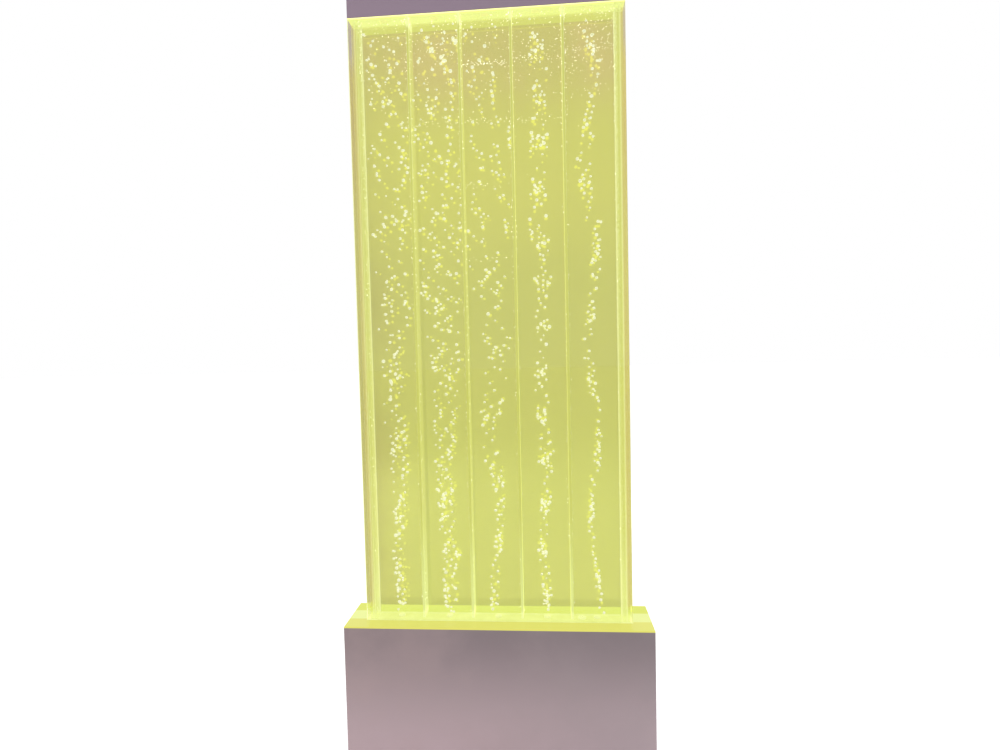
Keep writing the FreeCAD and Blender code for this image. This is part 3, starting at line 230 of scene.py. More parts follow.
def satin_laminate(name, high, low, warm, cool, bottom, top):
    """Laminated board: a painted fade of light over its height and width, a faint mottle and a fine orange
    peel.
    """
    finish, tree, shader = new_finish(name)
    x, _, z = place_of(tree)
    slow = blotch(tree, 4.5, contrast=1.6)
    fine = blotch(tree, 900, contrast=1.2)
    rubbed, eased = use(tree, worn_edges, Width=0.0007)
    # Painted reflection and light: warmer on the left, cooler on the right, in soft patches; darker above,
    # lighter below.
    reflected_cast = mix(span(x, CABINET_HALF, -CABINET_HALF), cool, warm)
    body = mix(span(z, top, bottom), high, low)
    body = mix(span(slow, 0.2, 0.8, 0.10, 0.42), body, reflected_cast)
    body = mix(span(fine, 0, 1, 0.0, 0.10), body, toned(low, 0.6))
    body = mix(span(rubbed, 0, 1, 0, 0.4), body, toned(low, 1.25))
    feed(shader, Base_Color=body, Roughness=span(slow, 0.1, 0.9, 0.38, 0.52),
         Normal=relief(fine, strength=0.06, depth=0.0002, normal=eased))
    return finish


cabinet_laminate = satin_laminate("cabinet_laminate", MAUVE_SHADED_HIGH, MAUVE_FLOOR_LIT, MAUVE_REFLECTED_WARM, MAUVE_REFLECTED_COOL,
                                  CABINET_LOW, CABINET_HIGH)
dress(cabinet_laminate, "front_panel", "left_side_panel", "right_side_panel", "rear_frame")


def set_up(name, data):
    """An object of its data, in the scene."""
    piece = bpy.data.objects.new(name, data)
    bpy.context.scene.collection.objects.link(piece)
    return piece


def fit_piece(name, corners, faces, finish, body, smooth=False):
    """A mesh piece with its finish, carried by a body of the frame."""
    work = bmesh.new()
    points = [work.verts.new(corner) for corner in corners]
    for face in faces:
        work.faces.new([points[index] for index in face]).smooth = smooth
    bmesh.ops.recalc_face_normals(work, faces=work.faces)
    mesh = bpy.data.meshes.new(name)
    work.to_mesh(mesh)
    work.free()
    mesh.materials.append(finish)
    piece = set_up(name, mesh)
    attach(piece, body)


SCREW_SIDES = 24
SCREW_PROFILE = [(1.0, 0.0), (1.0, 0.20), (0.88, 0.42), (0.62, 0.55)]
RECESS, RECESS_FLOOR = 0.40, 0.22
UP, BACK = Vector((0, 0, 1)), Vector((0, 1, 0))


def walls(first, sides, rings):
    """The faces between rings of corners that follow one another."""
    faces = []
    for here in range(first, first + sides * (rings - 1), sides):
        for side in range(sides):
            after = (side + 1) % sides
            faces.append((here + side, here + after, here + sides + after, here + sides + side))
    return faces


def screw_heads(name, places, out, radius, finish, body):
    """Pan-head screws with a six-sided recess, all on surfaces that face one way."""
    turn = UP.rotation_difference(out).to_matrix()
    angles = [2 * math.pi * side / SCREW_SIDES for side in range(SCREW_SIDES)]
    flats = [RECESS / math.cos((angle + math.pi / 6) % (math.pi / 3) - math.pi / 6) for angle in angles]
    rings = [([share] * SCREW_SIDES, rise) for share, rise in SCREW_PROFILE]
    rings += [(flats, SCREW_PROFILE[-1][1]), (flats, RECESS_FLOOR)]
    corners, faces = [], []
    for place in places:
        first = len(corners)
        for shares, rise in rings:
            for angle, share in zip(angles, shares):
                spot = Vector((share * math.cos(angle), share * math.sin(angle), rise)) * radius
                corners.append(Vector(place) + turn @ spot)
        faces += walls(first, SCREW_SIDES, len(rings))
        faces.append(tuple(range(len(corners) - SCREW_SIDES, len(corners))))
    fit_piece(name, corners, faces, finish, body)


REAR_SCREW, REAR_SCREW_OUT, REAR_FACE = 0.0033, 0.3845, 0.064
REAR_SCREW_LEVELS = (0.040, 0.185, 0.312)
rear_screws = [(side * REAR_SCREW_OUT, REAR_FACE, level) for side in (-1, 1) for level in REAR_SCREW_LEVELS]
zinc_screw = metal("zinc_screw", ZINC_PALE, ZINC_DULL, (500, 500, 500), 0.30)
screw_heads("rear_board_screws", rear_screws, BACK, REAR_SCREW, zinc_screw, "wall")

# Corner cleats, light channel and driver: extruded aluminium, left plain inside the cabinet. The draw lines
# of the die run along each length.
ALUMINIUM_PALE = (0.80, 0.80, 0.81)
ALUMINIUM_DULL = (0.58, 0.58, 0.60)
upright_extrusion = metal("upright_extrusion", ALUMINIUM_PALE, ALUMINIUM_DULL, (900, 900, 12), 0.32)
level_extrusion = metal("level_extrusion", ALUMINIUM_PALE, ALUMINIUM_DULL, (12, 900, 900), 0.32)
dress(upright_extrusion, "corner_cleats")
dress(level_extrusion, "led_bar", "led_driver")

# Trestles, cradle and manifold bracket: folded galvanised sheet. The zinc has the large crystals of hot
# dipping, and the cut edges are bare. Screws hold trestles, bracket and driver to the floor board.
SPANGLE_PALE = (0.62, 0.64, 0.66)
SPANGLE_DULL = (0.46, 0.48, 0.50)
TRESTLE_OUT, TRESTLE_DEPTH, TRESTLE_FLANGE = 0.322, 0.022, 0.030
BRACKET_SCREWS = [(-0.042, -0.030, 0.030), (0.038, -0.030, 0.030)]
DRIVER_SCREWS = [(0.066, -0.047, 0.029), (0.184, -0.029, 0.029)]
FLOOR_SCREW = 0.0036
galvanised, tree, shader = new_finish("galvanised_sheet")
crystals = add(tree, "TexVoronoi", {"Vector": spot_of(tree), "Scale": 130}).outputs["Color"]
flake = add(tree, "SeparateColor", {0: crystals}).outputs[0]
cloudy = blotch(tree, 140, contrast=1.6)
rubbed, eased = use(tree, worn_edges, Width=0.0006)
zinc = mix(flake, SPANGLE_DULL, SPANGLE_PALE)
zinc = mix(span(cloudy, 0.2, 0.8, 0.0, 0.35), zinc, SPANGLE_DULL)
feed(shader, Base_Color=mix(rubbed, zinc, ALUMINIUM_PALE), Metallic=1.0,
     Roughness=span(flake, 0, 1, 0.36, 0.50), Normal=eased)
dress(galvanised, "tank_cradle", "left_trestle", "right_trestle", "manifold_bracket")
trestle_screws = [(side * TRESTLE_OUT, end * TRESTLE_DEPTH, TRESTLE_FLANGE)
                  for side in (-1, 1) for end in (-1, 1)]
screw_heads("floor_screws", trestle_screws + BRACKET_SCREWS + DRIVER_SCREWS, UP, FLOOR_SCREW, zinc_screw,
            "wall")

# Rubber: neoprene strips under the tank and the pump's feet, cut or moulded from black stock with a slight
# bloom. They keep the pump's hum out of the boards.
RUBBER_BLACK = (0.016, 0.016, 0.017)
RUBBER_BLOOM = (0.070, 0.069, 0.068)


def moulded(name, dark, bloom, scale, roughness):
    """Rubber or moulded plastic with a fine skin, a bloom in patches and some dust."""
    finish, tree, shader = new_finish(name)
    skin = blotch(tree, scale, contrast=1.8)
    patch = blotch(tree, 40, contrast=2.0)
    dust = use(tree, settled_dust, Amount=0.22)["Mask"]
    rubbed, eased = use(tree, worn_edges, Width=0.0005)
    body = mix(span(patch, 0.3, 0.9, 0.0, 0.6), dark, bloom)
    body = mix(span(rubbed, 0, 1, 0, 0.5), body, toned(bloom, 2.2))
    feed(shader, Base_Color=mix(dust, body, DUST),
         Roughness=span(patch, 0, 1, roughness - 0.06, roughness + 0.1),
         Normal=relief(skin, strength=0.22, depth=0.0003, normal=eased))
    return finish


dress(moulded("black_rubber", RUBBER_BLACK, RUBBER_BLOOM, 700, 0.66), "tank_pads", "pump_feet")

# Light: two rows of chips on the aluminium channel, each a pale phosphor in a white case. In the real wall
# they shine up through the tank's floor and edges and give the whole wall its yellow; here that yellow is a
# painted glow on each piece.
CHIP_CASE = (0.80, 0.80, 0.76)
CHIP_PHOSPHOR = (1.0, 0.86, 0.30)
CHIP_PALE = (1.0, 0.93, 0.52)


def lit_finish(name, scale, contrast, tones, glows, strength, **sockets):
    """A lit piece: two tones of its body and two of its light, in patches."""
    finish, tree, shader = new_finish(name)
    patch = blotch(tree, scale, contrast)
    feed(shader, Base_Color=mix(patch, *tones), Emission_Color=mix(patch, *glows),
         Emission_Strength=strength, **sockets)
    return finish


led_chip = lit_finish("led_chip", 1500, 1.5, (CHIP_CASE, CHIP_PHOSPHOR), (CHIP_PHOSPHOR, CHIP_PALE), 1.6,
                      Roughness=0.3)
dress(led_chip, "led_chips")

# Air pump: a moulded case with cooling flutes and a domed cover, dark blue-grey with a sparked texture. It
# stands on its rubber feet over the slots of the floor board.
PUMP_DARK = (0.013, 0.015, 0.019)
PUMP_BLOOM = (0.050, 0.056, 0.066)
COVER_DARK = (0.024, 0.032, 0.046)
COVER_BLOOM = (0.075, 0.092, 0.120)
dress(moulded("pump_moulding", PUMP_DARK, PUMP_BLOOM, 1100, 0.55), "pump_case")
dress(moulded("pump_cover_moulding", COVER_DARK, COVER_BLOOM, 1500, 0.42), "pump_cover")

# Air manifold, the nozzles' nuts and the inlet's blades: drawn brass bar, machined and then slightly
# tarnished. The manifold is held by its bracket, with the valves towards the service door.
BRASS_PALE = (0.84, 0.66, 0.31)
BRASS_DULL = (0.67, 0.50, 0.21)
drawn_brass = metal("drawn_brass", BRASS_PALE, BRASS_DULL, (45, 2600, 2600), 0.24)
dress(drawn_brass, "air_manifold", "nozzle_nuts", "inlet_pins")

# Air valves: black fluted knobs on needle stems, one for each channel. A raised white line on each knob
# shows how far it is open.
KNOB_DARK = (0.012, 0.012, 0.014)
KNOB_BLOOM = (0.040, 0.040, 0.044)
MARK_DULL = (0.62, 0.62, 0.60)
MARK_WHITE = (0.80, 0.80, 0.78)
VALVE_PITCH, VALVE_LEVEL, KNOB_FACE = 0.040, 0.160, 0.0230
POINTER_FROM, POINTER_TO, POINTER_WIDTH = 0.0010, 0.0062, 0.0011
dress(moulded("knob_moulding", KNOB_DARK, KNOB_BLOOM, 1300, 0.40), *(f"air_valve_{i}" for i in range(1, 6)))
mark_paint, tree, shader = new_finish("mark_paint")
worn = blotch(tree, 900, contrast=2.0)
feed(shader, Base_Color=mix(worn, MARK_DULL, MARK_WHITE), Roughness=span(worn, 0, 1, 0.40, 0.60))


def raised_line(name, points, thickness, body, closed=False):
    """A painted line that stands a little proud along its points."""
    line = bpy.data.curves.new(name, "CURVE")
    line.dimensions = "3D"
    line.bevel_depth = thickness / 2
    line.use_fill_caps = True
    run = line.splines.new("POLY")
    run.points.add(len(points) - 1)
    for spot, point in zip(run.points, points):
        spot.co = (*point, 1)
    run.use_cyclic_u = closed
    line.materials.append(mark_paint)
    piece = set_up(name, line)
    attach(piece, body)


for number in range(5):
    x = (number - 2) * VALVE_PITCH
    pointer = [(x, KNOB_FACE, VALVE_LEVEL + rise) for rise in (POINTER_FROM, POINTER_TO)]
    raised_line(f"knob_pointer_{number + 1}", pointer, POINTER_WIDTH, f"air_valve_{number + 1}")

# Check valves, air tubes and pump hose: clear plastics that carry the air. The tubes are soft and slightly
# milky, the valves are moulded in two halves, and worm-drive clips hold the pump's hose.
TUBE_CLEAR = (0.86, 0.90, 0.88)
TUBE_MILKY = (0.70, 0.76, 0.74)
VALVE_CLEAR = (0.62, 0.70, 0.74)
VALVE_MILKY = (0.80, 0.84, 0.86)


def clear_plastic(name, clear, milky, alpha, roughness):
    """Clear soft plastic: see-through, milkier in patches."""
    finish, tree, shader = new_finish(name)
    haze = blotch(tree, 55, contrast=2.0)
    fine = blotch(tree, 600, contrast=1.4)
    feed(shader, Base_Color=mix(haze, clear, milky), Alpha=span(haze, 0, 1, alpha - 0.1, alpha + 0.15),
         Roughness=span(fine, 0, 1, roughness, roughness + 0.1),
         Normal=relief(fine, strength=0.08, depth=0.0003))
    return finish


dress(clear_plastic("clear_tube", TUBE_CLEAR, TUBE_MILKY, 0.45, 0.10), "air_tubes", "pump_hose")
dress(clear_plastic("valve_moulding", VALVE_CLEAR, VALVE_MILKY, 0.75, 0.16), "check_valves")


def add_band(corners, faces, centre, along, inner, outer, width, sides=36):
    """Adds a flat band round an axis to a mesh in the making."""
    right = along.orthogonal().normalized()
    above = along.cross(right)
    first = len(corners)
    for side in range(sides):
        angle = 2 * math.pi * side / sides
        ray = right * math.cos(angle) + above * math.sin(angle)
        for radius, shift in ((inner, -0.5), (outer, -0.5), (outer, 0.5), (inner, 0.5)):
            corners.append(centre + ray * radius + along * (shift * width))
    for side in range(sides):
        here, after = first + 4 * side, first + 4 * ((side + 1) % sides)
        faces += [(here + k, after + k, after + (k + 1) % 4, here + (k + 1) % 4) for k in range(4)]


def add_bar(corners, faces, outline, start, right, above, run):
    """Adds a straight bar of one outline to a mesh in the making."""
    first, count = len(corners), len(outline)
    for end in (start, start + run):
        corners += [end + right * a + above * b for a, b in outline]
    faces += walls(first, count, 2)
    faces += [tuple(range(first, first + count)), tuple(range(first + count, first + 2 * count))]


BAND_THICK, BAND_WIDTH = 0.0009, 0.0070
HOUSING = [(-0.0050, 0), (-0.0050, 0.0022), (-0.0034, 0.0042),
           (0.0034, 0.0042), (0.0050, 0.0022), (0.0050, 0)]
HOUSING_RISE, HOUSING_LENGTH = 0.0006, 0.0080
WORM_RADIUS, WORM_RISE, WORM_FROM, WORM_LENGTH = 0.0021, 0.0026, 0.0046, 0.0034
WORM = [(WORM_RADIUS * math.cos(k * math.pi / 3), WORM_RADIUS * math.sin(k * math.pi / 3)) for k in range(6)]


def hose_clip(name, centre, along, bore, outward):
    """Worm-drive band round a hose, with its raised housing and the screw that tightens it."""
    corners, faces = [], []
    centre, along, outward = Vector(centre), Vector(along), Vector(outward)
    across = along.cross(outward)
    add_band(corners, faces, centre, along, bore, bore + BAND_THICK, BAND_WIDTH)
    start = centre + outward * (bore + HOUSING_RISE) - along * (HOUSING_LENGTH / 2)
    add_bar(corners, faces, HOUSING, start, across, outward, along * HOUSING_LENGTH)
    start = centre + outward * (bore + WORM_RISE) + across * WORM_FROM
    add_bar(corners, faces, WORM, start, along, outward, across * WORM_LENGTH)
    fit_piece(name, corners, faces, zinc_screw, "wall")


PUMP_HOSE_BORE = 0.0056
hose_clip("pump_hose_clip_low", (-0.1245, 0, 0.0569), (1, 0, 0), PUMP_HOSE_BORE, BACK)
hose_clip("pump_hose_clip_high", (-0.0569, 0, 0.1440), UP, PUMP_HOSE_BORE, BACK)

# Drain: a nickel-plated valve with a dipped red lever, and a grey hose whose woven liner shows through. The
# hose is pushed over the valve's tail and held by a clip.
NICKEL_PALE = (0.74, 0.71, 0.66)
NICKEL_DULL = (0.52, 0.49, 0.45)
HOSE_GREY = (0.30, 0.32, 0.33)
HOSE_DARK = (0.22, 0.24, 0.25)
HOSE_THREAD = (0.62, 0.64, 0.64)
WEAVE = 620
HOSE_FRONT = 0.045
HOSE_BEND = (0.105, 0.085)
LEVER_RED = (0.44, 0.020, 0.016)
LEVER_DARK = (0.24, 0.010, 0.010)
dress(metal("nickel_plate", NICKEL_PALE, NICKEL_DULL, (400, 60, 400), 0.24), "drain_valve")
woven_hose, tree, shader = new_finish("woven_hose")
x, y, z = place_of(tree)
level_run = reckon("MULTIPLY", reckon("ADD", y, HOSE_FRONT), span(z, *HOSE_BEND))
along = reckon("SUBTRACT", z, level_run)
threads = []
for lay in ("ADD", "SUBTRACT"):
    slant = reckon(lay, along, x)
    wave = reckon("SINE", reckon("MULTIPLY", slant, WEAVE))
    threads.append(span(wave, 0.80, 0.97))
net = reckon("MAXIMUM", *threads)
skin = blotch(tree, 300, contrast=1.5)
feed(shader, Base_Color=mix(net, mix(skin, HOSE_GREY, HOSE_DARK), HOSE_THREAD),
     Roughness=span(skin, 0, 1, 0.22, 0.4), Normal=relief(net, strength=0.2, depth=0.0004))
dress(woven_hose, "drain_hose")
dress(moulded("dipped_lever", LEVER_DARK, LEVER_RED, 900, 0.34), "drain_lever")
hose_clip("drain_hose_clip", (0.222, -0.0125, 0.060), BACK, 0.0071, (-1, 0, 0))

# Power inlet, rocker and magnet catch: black moulded plastic, with the usual line and ring on the rocker.
# The leads have a soft black sheath and run through nylon clips on the boards.
INLET_DARK = (0.011, 0.011, 0.012)
INLET_BLOOM = (0.034, 0.034, 0.036)
NYLON_GREY = (0.30, 0.30, 0.29)
NYLON_PALE = (0.46, 0.46, 0.44)
ROCKER_ON = Vector((0.362, 0.0652, 0.1226))
ROCKER_OFF = Vector((0.362, 0.0665, 0.1130))
OFF_SLOPE = Vector((0, 0.275, -0.961))
MARK_REACH, LINE_WIDTH, RING_WIDTH = 0.0020, 0.0009, 0.0008
dress(moulded("inlet_moulding", INLET_DARK, INLET_BLOOM, 1600, 0.42), "power_inlet", "magnet_catch")
dress(moulded("rocker_moulding", INLET_DARK, INLET_BLOOM, 500, 0.22), "power_rocker")
dress(moulded("lead_sheath", RUBBER_BLACK, RUBBER_BLOOM, 450, 0.50), "wiring")
raised_line("rocker_line", [ROCKER_ON - UP * MARK_REACH, ROCKER_ON + UP * MARK_REACH], LINE_WIDTH,
            "power_rocker")
ring = []
for step in range(24):
    angle = step * math.pi / 12
    sideways = Vector((MARK_REACH * math.cos(angle), 0, 0))
    ring.append(ROCKER_OFF + sideways + OFF_SLOPE * (MARK_REACH * math.sin(angle)))
raised_line("rocker_ring", ring, RING_WIDTH, "power_rocker", closed=True)
clip_nylon = moulded("clip_nylon", NYLON_GREY, NYLON_PALE, 800, 0.48)


def rounded(width, depth, corner):
    """The outline of a rectangle with rounded corners."""
    points = []
    for quarter, (a, b) in enumerate(((1, 1), (-1, 1), (-1, -1), (1, -1))):
        for step in range(5):
            angle = (quarter + step / 4) * math.pi / 2
            points.append((a * (width / 2 - corner) + corner * math.cos(angle),
                           b * (depth / 2 - corner) + corner * math.sin(angle)))
    return points


LOOP_INNER, LOOP_OUTER, LOOP_WIDTH = 0.0031, 0.0047, 0.0080
STEM, STEM_FROM, STEM_SHORTER = rounded(0.0080, 0.0040, 0.0012), 0.0044, 0.0060
FOOT, FOOT_SINK, FOOT_THICK = rounded(0.0200, 0.0110, 0.0030), 0.0020, 0.0019


def lead_clip(name, centre, along, foot):
    """Nylon clip that holds a lead off a board: a ring, a stem and a foot."""
    corners, faces = [], []
    centre, along, foot = Vector(centre), Vector(along), Vector(foot)
    out = foot.normalized()
    across = along.cross(out)
    add_band(corners, faces, centre, along, LOOP_INNER, LOOP_OUTER, LOOP_WIDTH)
    add_bar(corners, faces, STEM, centre + out * STEM_FROM, along, across, foot - out * STEM_SHORTER)
    add_bar(corners, faces, FOOT, centre + foot - out * FOOT_SINK, along, across, out * FOOT_THICK)
    fit_piece(name, corners, faces, clip_nylon, "wall")


lead_clip("inlet_lead_clip", (0.270, -0.052, 0.040), (1, 0, 0), (0, 0, -0.013))
lead_clip("pump_lead_clip", (-0.092, -0.036, 0.040), (1, 0, 0), (0, 0, -0.013))
lead_clip("light_lead_clip", (0.1568, -0.038, 0.170), UP, (0, -0.024, 0))

# Deck: one sheet of opal acrylic over the whole cabinet, lit from below, with its glow painted. The painted
# glow is palest in line with the channels of the tank, a fuller yellow in front and behind, and a painted
# highlight runs along its polished edges.
DECK_YELLOW = (0.640, 0.640, 0.135)
DECK_REAR = (0.590, 0.660, 0.080)
DECK_PALE = (0.710, 0.780, 0.275)
DECK_EDGE = (0.680, 0.650, 0.120)
DECK_BODY = (0.16, 0.155, 0.05)
DECK_DARK = (0.13, 0.125, 0.04)
PALE_HALF = 0.0235
DECK_HALF = 0.070
opal_deck, tree, shader = new_finish("opal_deck")
y = place_of(tree)["Y"]
off_line = reckon("ABSOLUTE", y)
drift = blotch(tree, 7, contrast=1.4)
fine = blotch(tree, 500, contrast=1.2)
# Painted glow: fuller yellow in front and behind, in patches, palest over the channels, a highlight at the
# edges.
lit = mix(span(y, -0.01, 0.01), DECK_YELLOW, DECK_REAR)
lit = mix(span(drift, 0.2, 0.8, 0.0, 0.25), lit, DECK_EDGE)
lit = mix(span(off_line, PALE_HALF + 0.0035, PALE_HALF - 0.0025), lit, DECK_PALE)
lit = mix(span(off_line, DECK_HALF - 0.0016, DECK_HALF - 0.0004), lit, DECK_EDGE)
feed(shader, Base_Color=mix(fine, DECK_BODY, DECK_DARK), Emission_Color=lit, Emission_Strength=1.0,
     Roughness=span(drift, 0, 1, 0.06, 0.12), IOR=1.49, Specular_IOR_Level=0.2,
     Normal=relief(fine, strength=0.03, depth=0.0002))
dress(opal_deck, "deck_plate")

# Seals: a bead of clear silicone between the deck and the tank, and a clear ring under each nozzle. They
# carry a painted glow of the light from below.
SEAL_DULL = (0.55, 0.55, 0.25)
SEAL_PALE = (0.72, 0.72, 0.40)
SEAL_GLOW = (0.76, 0.78, 0.24)
clear_silicone = lit_finish("clear_silicone", 160, 1.8, (SEAL_DULL, SEAL_PALE), (SEAL_GLOW, DECK_PALE), 0.5,
                            Roughness=0.2)
dress(clear_silicone, "deck_seal", "nozzle_seals")

# Tank floor, nozzles and drain fitting: clear acrylic right above the light, and all carry a painted glow
# that is nearly white. The floor is bonded between the panes, and nuts below hold the nozzles in it.
FLOOR_BODY = ((0.10, 0.10, 0.04), (0.13, 0.13, 0.06))
FLOOR_SHADE = (0.68, 0.75, 0.22)
FLOOR_GLOW = (0.78, 0.85, 0.32)
NOZZLE_BODY = ((0.14, 0.14, 0.06), (0.18, 0.18, 0.09))
NOZZLE_GLOW = (0.84, 0.90, 0.42)
tank_floor_acrylic = lit_finish("tank_floor_acrylic", 28, 1.6, FLOOR_BODY, (FLOOR_SHADE, FLOOR_GLOW), 1.0,
                                Roughness=0.08, IOR=1.49)
nozzle_acrylic = lit_finish("nozzle_acrylic", 300, 1.6, NOZZLE_BODY, (FLOOR_GLOW, NOZZLE_GLOW), 0.95,
                            Roughness=0.12)
dress(tank_floor_acrylic, "tank_floor")
dress(nozzle_acrylic, "air_nozzles", "drain_fitting")

# Rear pane: acrylic with a frosted back. A painted glow stands in for the light that it spreads from its
# lower edge over the whole panel. The inner face is polished and mirrors the bubbles. The painted glow is
# brightest behind the solid end bars, with painted highlight lines at their inner edges, and on the frosted
# back the dividers and the bubbles are painted in as soft bright lines and spots.
FIELD_LOW = (0.392, 0.420, 0.096)
FIELD_MID = (0.370, 0.378, 0.094)
FIELD_HIGH = (0.428, 0.428, 0.094)
FIELD_TOP = (0.380, 0.330, 0.108)
FIELD_FADES = [((0.62, 1.02), FIELD_MID), ((1.20, 1.50), FIELD_HIGH), ((1.58, 1.86), FIELD_TOP)]
FIELD_ROSE = (0.440, 0.330, 0.150)
ROSE_HEIGHTS = (1.62, 1.88)
FIELD_DIM = (0.310, 0.290, 0.088)
DIM_SIDE, DIM_HEIGHTS = (-0.20, -0.33), (1.75, 1.40)
FIELD_CREST = (0.490, 0.500, 0.120)
CREST_HEIGHTS = (1.891, 1.894)
FIELD_BODY = ((0.05, 0.047, 0.01), (0.06, 0.057, 0.012))
CHANNEL_PITCH = 0.1308
FROST_FROM = 0.0295
STREAM_HEIGHTS, STREAM_WIDTHS = (0.45, 1.45), (0.016, 0.056)
DIVIDER_GLOW_FROM, DIVIDER_GLOW_FULL = 0.0585, 0.0630
SOFT_SPOT = (0.640, 0.660, 0.250)
SOFT_LINE = (0.560, 0.580, 0.150)
BAR_GLOW = (0.525, 0.555, 0.130)
BAR_FOOT = (0.620, 0.680, 0.215)
BAR_SIDE = (0.520, 0.455, 0.140)
BAR_SEAM_HIGHLIGHT = (0.740, 0.780, 0.380)
SEAM_HIGHLIGHT_LINES = ((0.3282, 0.65), (0.3418, 0.85))
BAR_EDGE, BEADS_TO, SIDE_FROM = 0.3265, 0.3342, 0.3436
FOOT_GLOW = (0.580, 0.665, 0.120)
FOOT_TOP, DECK_TOP = 0.3645, 0.345
MIRROR_TINT = (1, 1, 0.12)


def past(value, line, soft):
    """A mask that sets in softly past a line; with a negative softness, before it."""
    return span(value, line - soft, line + soft)


lit_acrylic, tree, shader = new_finish("lit_rear_acrylic")
x, y, z = place_of(tree)
out = reckon("ABSOLUTE", x)
drift = blotch(tree, 3.2, contrast=1.8)
fine = blotch(tree, 260, contrast=1.6)
# Painted glow: lighter and darker heights, a rose tint near the top, a dim patch on the left and a bright
# crest under the liner.
field = FIELD_LOW
for heights, tone in FIELD_FADES:
    field = mix(span(z, *heights), field, tone)
rose = overlap(span(z, *ROSE_HEIGHTS), span(drift, 0.35, 0.75))
field = mix(rose, field, FIELD_ROSE)
dim = overlap(span(x, *DIM_SIDE), span(drift, 0.7, 0.3, 0.3, 0.9), span(z, *DIM_HEIGHTS, 0.15, 1.0))
field = mix(dim, field, FIELD_DIM)
field = mix(span(fine, 0.2, 0.8, 0.0, 0.10), field, FIELD_HIGH)
field = mix(span(z, *CREST_HEIGHTS), field, FIELD_CREST)
# Painted on the frosted back: soft bright spots along each stream of bubbles and bright lines behind the
# dividers.
frosted = reckon("GREATER_THAN", y, FROST_FROM)
from_stream = reckon("PINGPONG", x, CHANNEL_PITCH / 2)
reach = reckon("DIVIDE", from_stream, span(z, *STREAM_HEIGHTS, *STREAM_WIDTHS))
blur = add(tree, "TexVoronoi", {"Vector": spot_of(tree), "Scale": 60}).outputs["Distance"]
spots = overlap(span(blur, 0.34, 0.14), span(reach, 1.0, 0.7), frosted)
divider_glow_lines = overlap(span(from_stream, DIVIDER_GLOW_FROM, DIVIDER_GLOW_FULL), frosted)
field = mix(divider_glow_lines, mix(spots, field, SOFT_SPOT), SOFT_LINE)
# Painted glow behind the end bars: brighter towards the foot, tan beyond their outer edge, the deck's pale
# glow at the bottom.
strip = mix(span(z, 0.62, 0.37), BAR_GLOW, BAR_FOOT)
side = mix(past(z, FOOT_TOP, -0.0008), BAR_SIDE, FOOT_GLOW)
strip = mix(past(out, SIDE_FROM, 0.001), strip, side)
strip = mix(span(z, DECK_TOP + 0.006, DECK_TOP + 0.001), strip, DECK_PALE)
field = mix(past(out, BAR_EDGE, 0.0006), field, strip)
# Painted highlights: a beaded line and thin bright lines at the inner edges of the end bars.
beads = blotch(tree, 330, contrast=3.0)
beaded_highlight = overlap(past(out, BAR_EDGE, 0.001), past(out, BEADS_TO, -0.001),
                 span(beads, 0.35, 0.75), span(z, 0.9, 1.7, 0.35, 1.0))
field = mix(beaded_highlight, field, BAR_SEAM_HIGHLIGHT)
for seam_highlight, strength in SEAM_HIGHLIGHT_LINES:
    aside = reckon("ABSOLUTE", reckon("SUBTRACT", out, seam_highlight))
    field = mix(span(aside, 0.0019, 0.0008, 0.0, strength), field, BAR_SEAM_HIGHLIGHT)
# Painted glow along the foot of the panel, between the end bars.
foot = overlap(past(z, FOOT_TOP, -0.0008), past(out, BAR_EDGE, -0.0006))
field = mix(foot, field, FOOT_GLOW)
feed(shader, Base_Color=mix(fine, *FIELD_BODY), Emission_Color=field, Emission_Strength=1.0,
     Roughness=span(frosted, 0, 1, 0.0, 0.45), IOR=2.4, Specular_Tint=MIRROR_TINT)
dress(lit_acrylic, "rear_pane")

# Front pane: polished clear acrylic, bonded to the end bars and the dividers. Its sawn and flamed edges carry
# a
# painted glow of the light they gather: paler on the left edge, dim on the right and brightest along the top.
PANE_CLEAR = ((0.98, 0.985, 0.95), (0.995, 0.995, 0.985))
PANE_EDGE = (0.10, 0.09, 0.02)
PANE_EDGE_PALE = (0.34, 0.345, 0.28)
PANE_EDGE_TINT = (0.32, 0.27, 0.08)
PANE_CROWN = (0.74, 0.82, 0.24)
UNLIT = (0, 0, 0)
TANK_HALF, TANK_TOP = 0.350, 1.910


def outermost(value, limit):
    """The outer face itself: the last tenths of a millimetre before a limit."""
    return span(value, limit - 0.0004, limit - 0.0001)


clear_pane, tree, shader = new_finish("clear_front_acrylic")
x, _, z = place_of(tree)
edge = outermost(reckon("ABSOLUTE", x), TANK_HALF)
# Painted glow on the outer edges: paler on the left edge, dim on the right, brightest along the top.
edges = mix(span(x, 0.01, -0.01), PANE_EDGE, PANE_EDGE_PALE)
rims = mix(outermost(z, TANK_TOP), mix(edge, UNLIT, edges), PANE_CROWN)
smear = blotch(tree, 6, contrast=2.0)
feed(shader, Base_Color=mix(edge, mix(smear, *PANE_CLEAR), PANE_EDGE_TINT),
     Emission_Color=rims, Emission_Strength=0.9, Roughness=span(smear, 0.3, 0.9, 0.0, 0.02),
     Transmission_Weight=1.0, IOR=1.49)
dress(clear_pane, "front_pane")

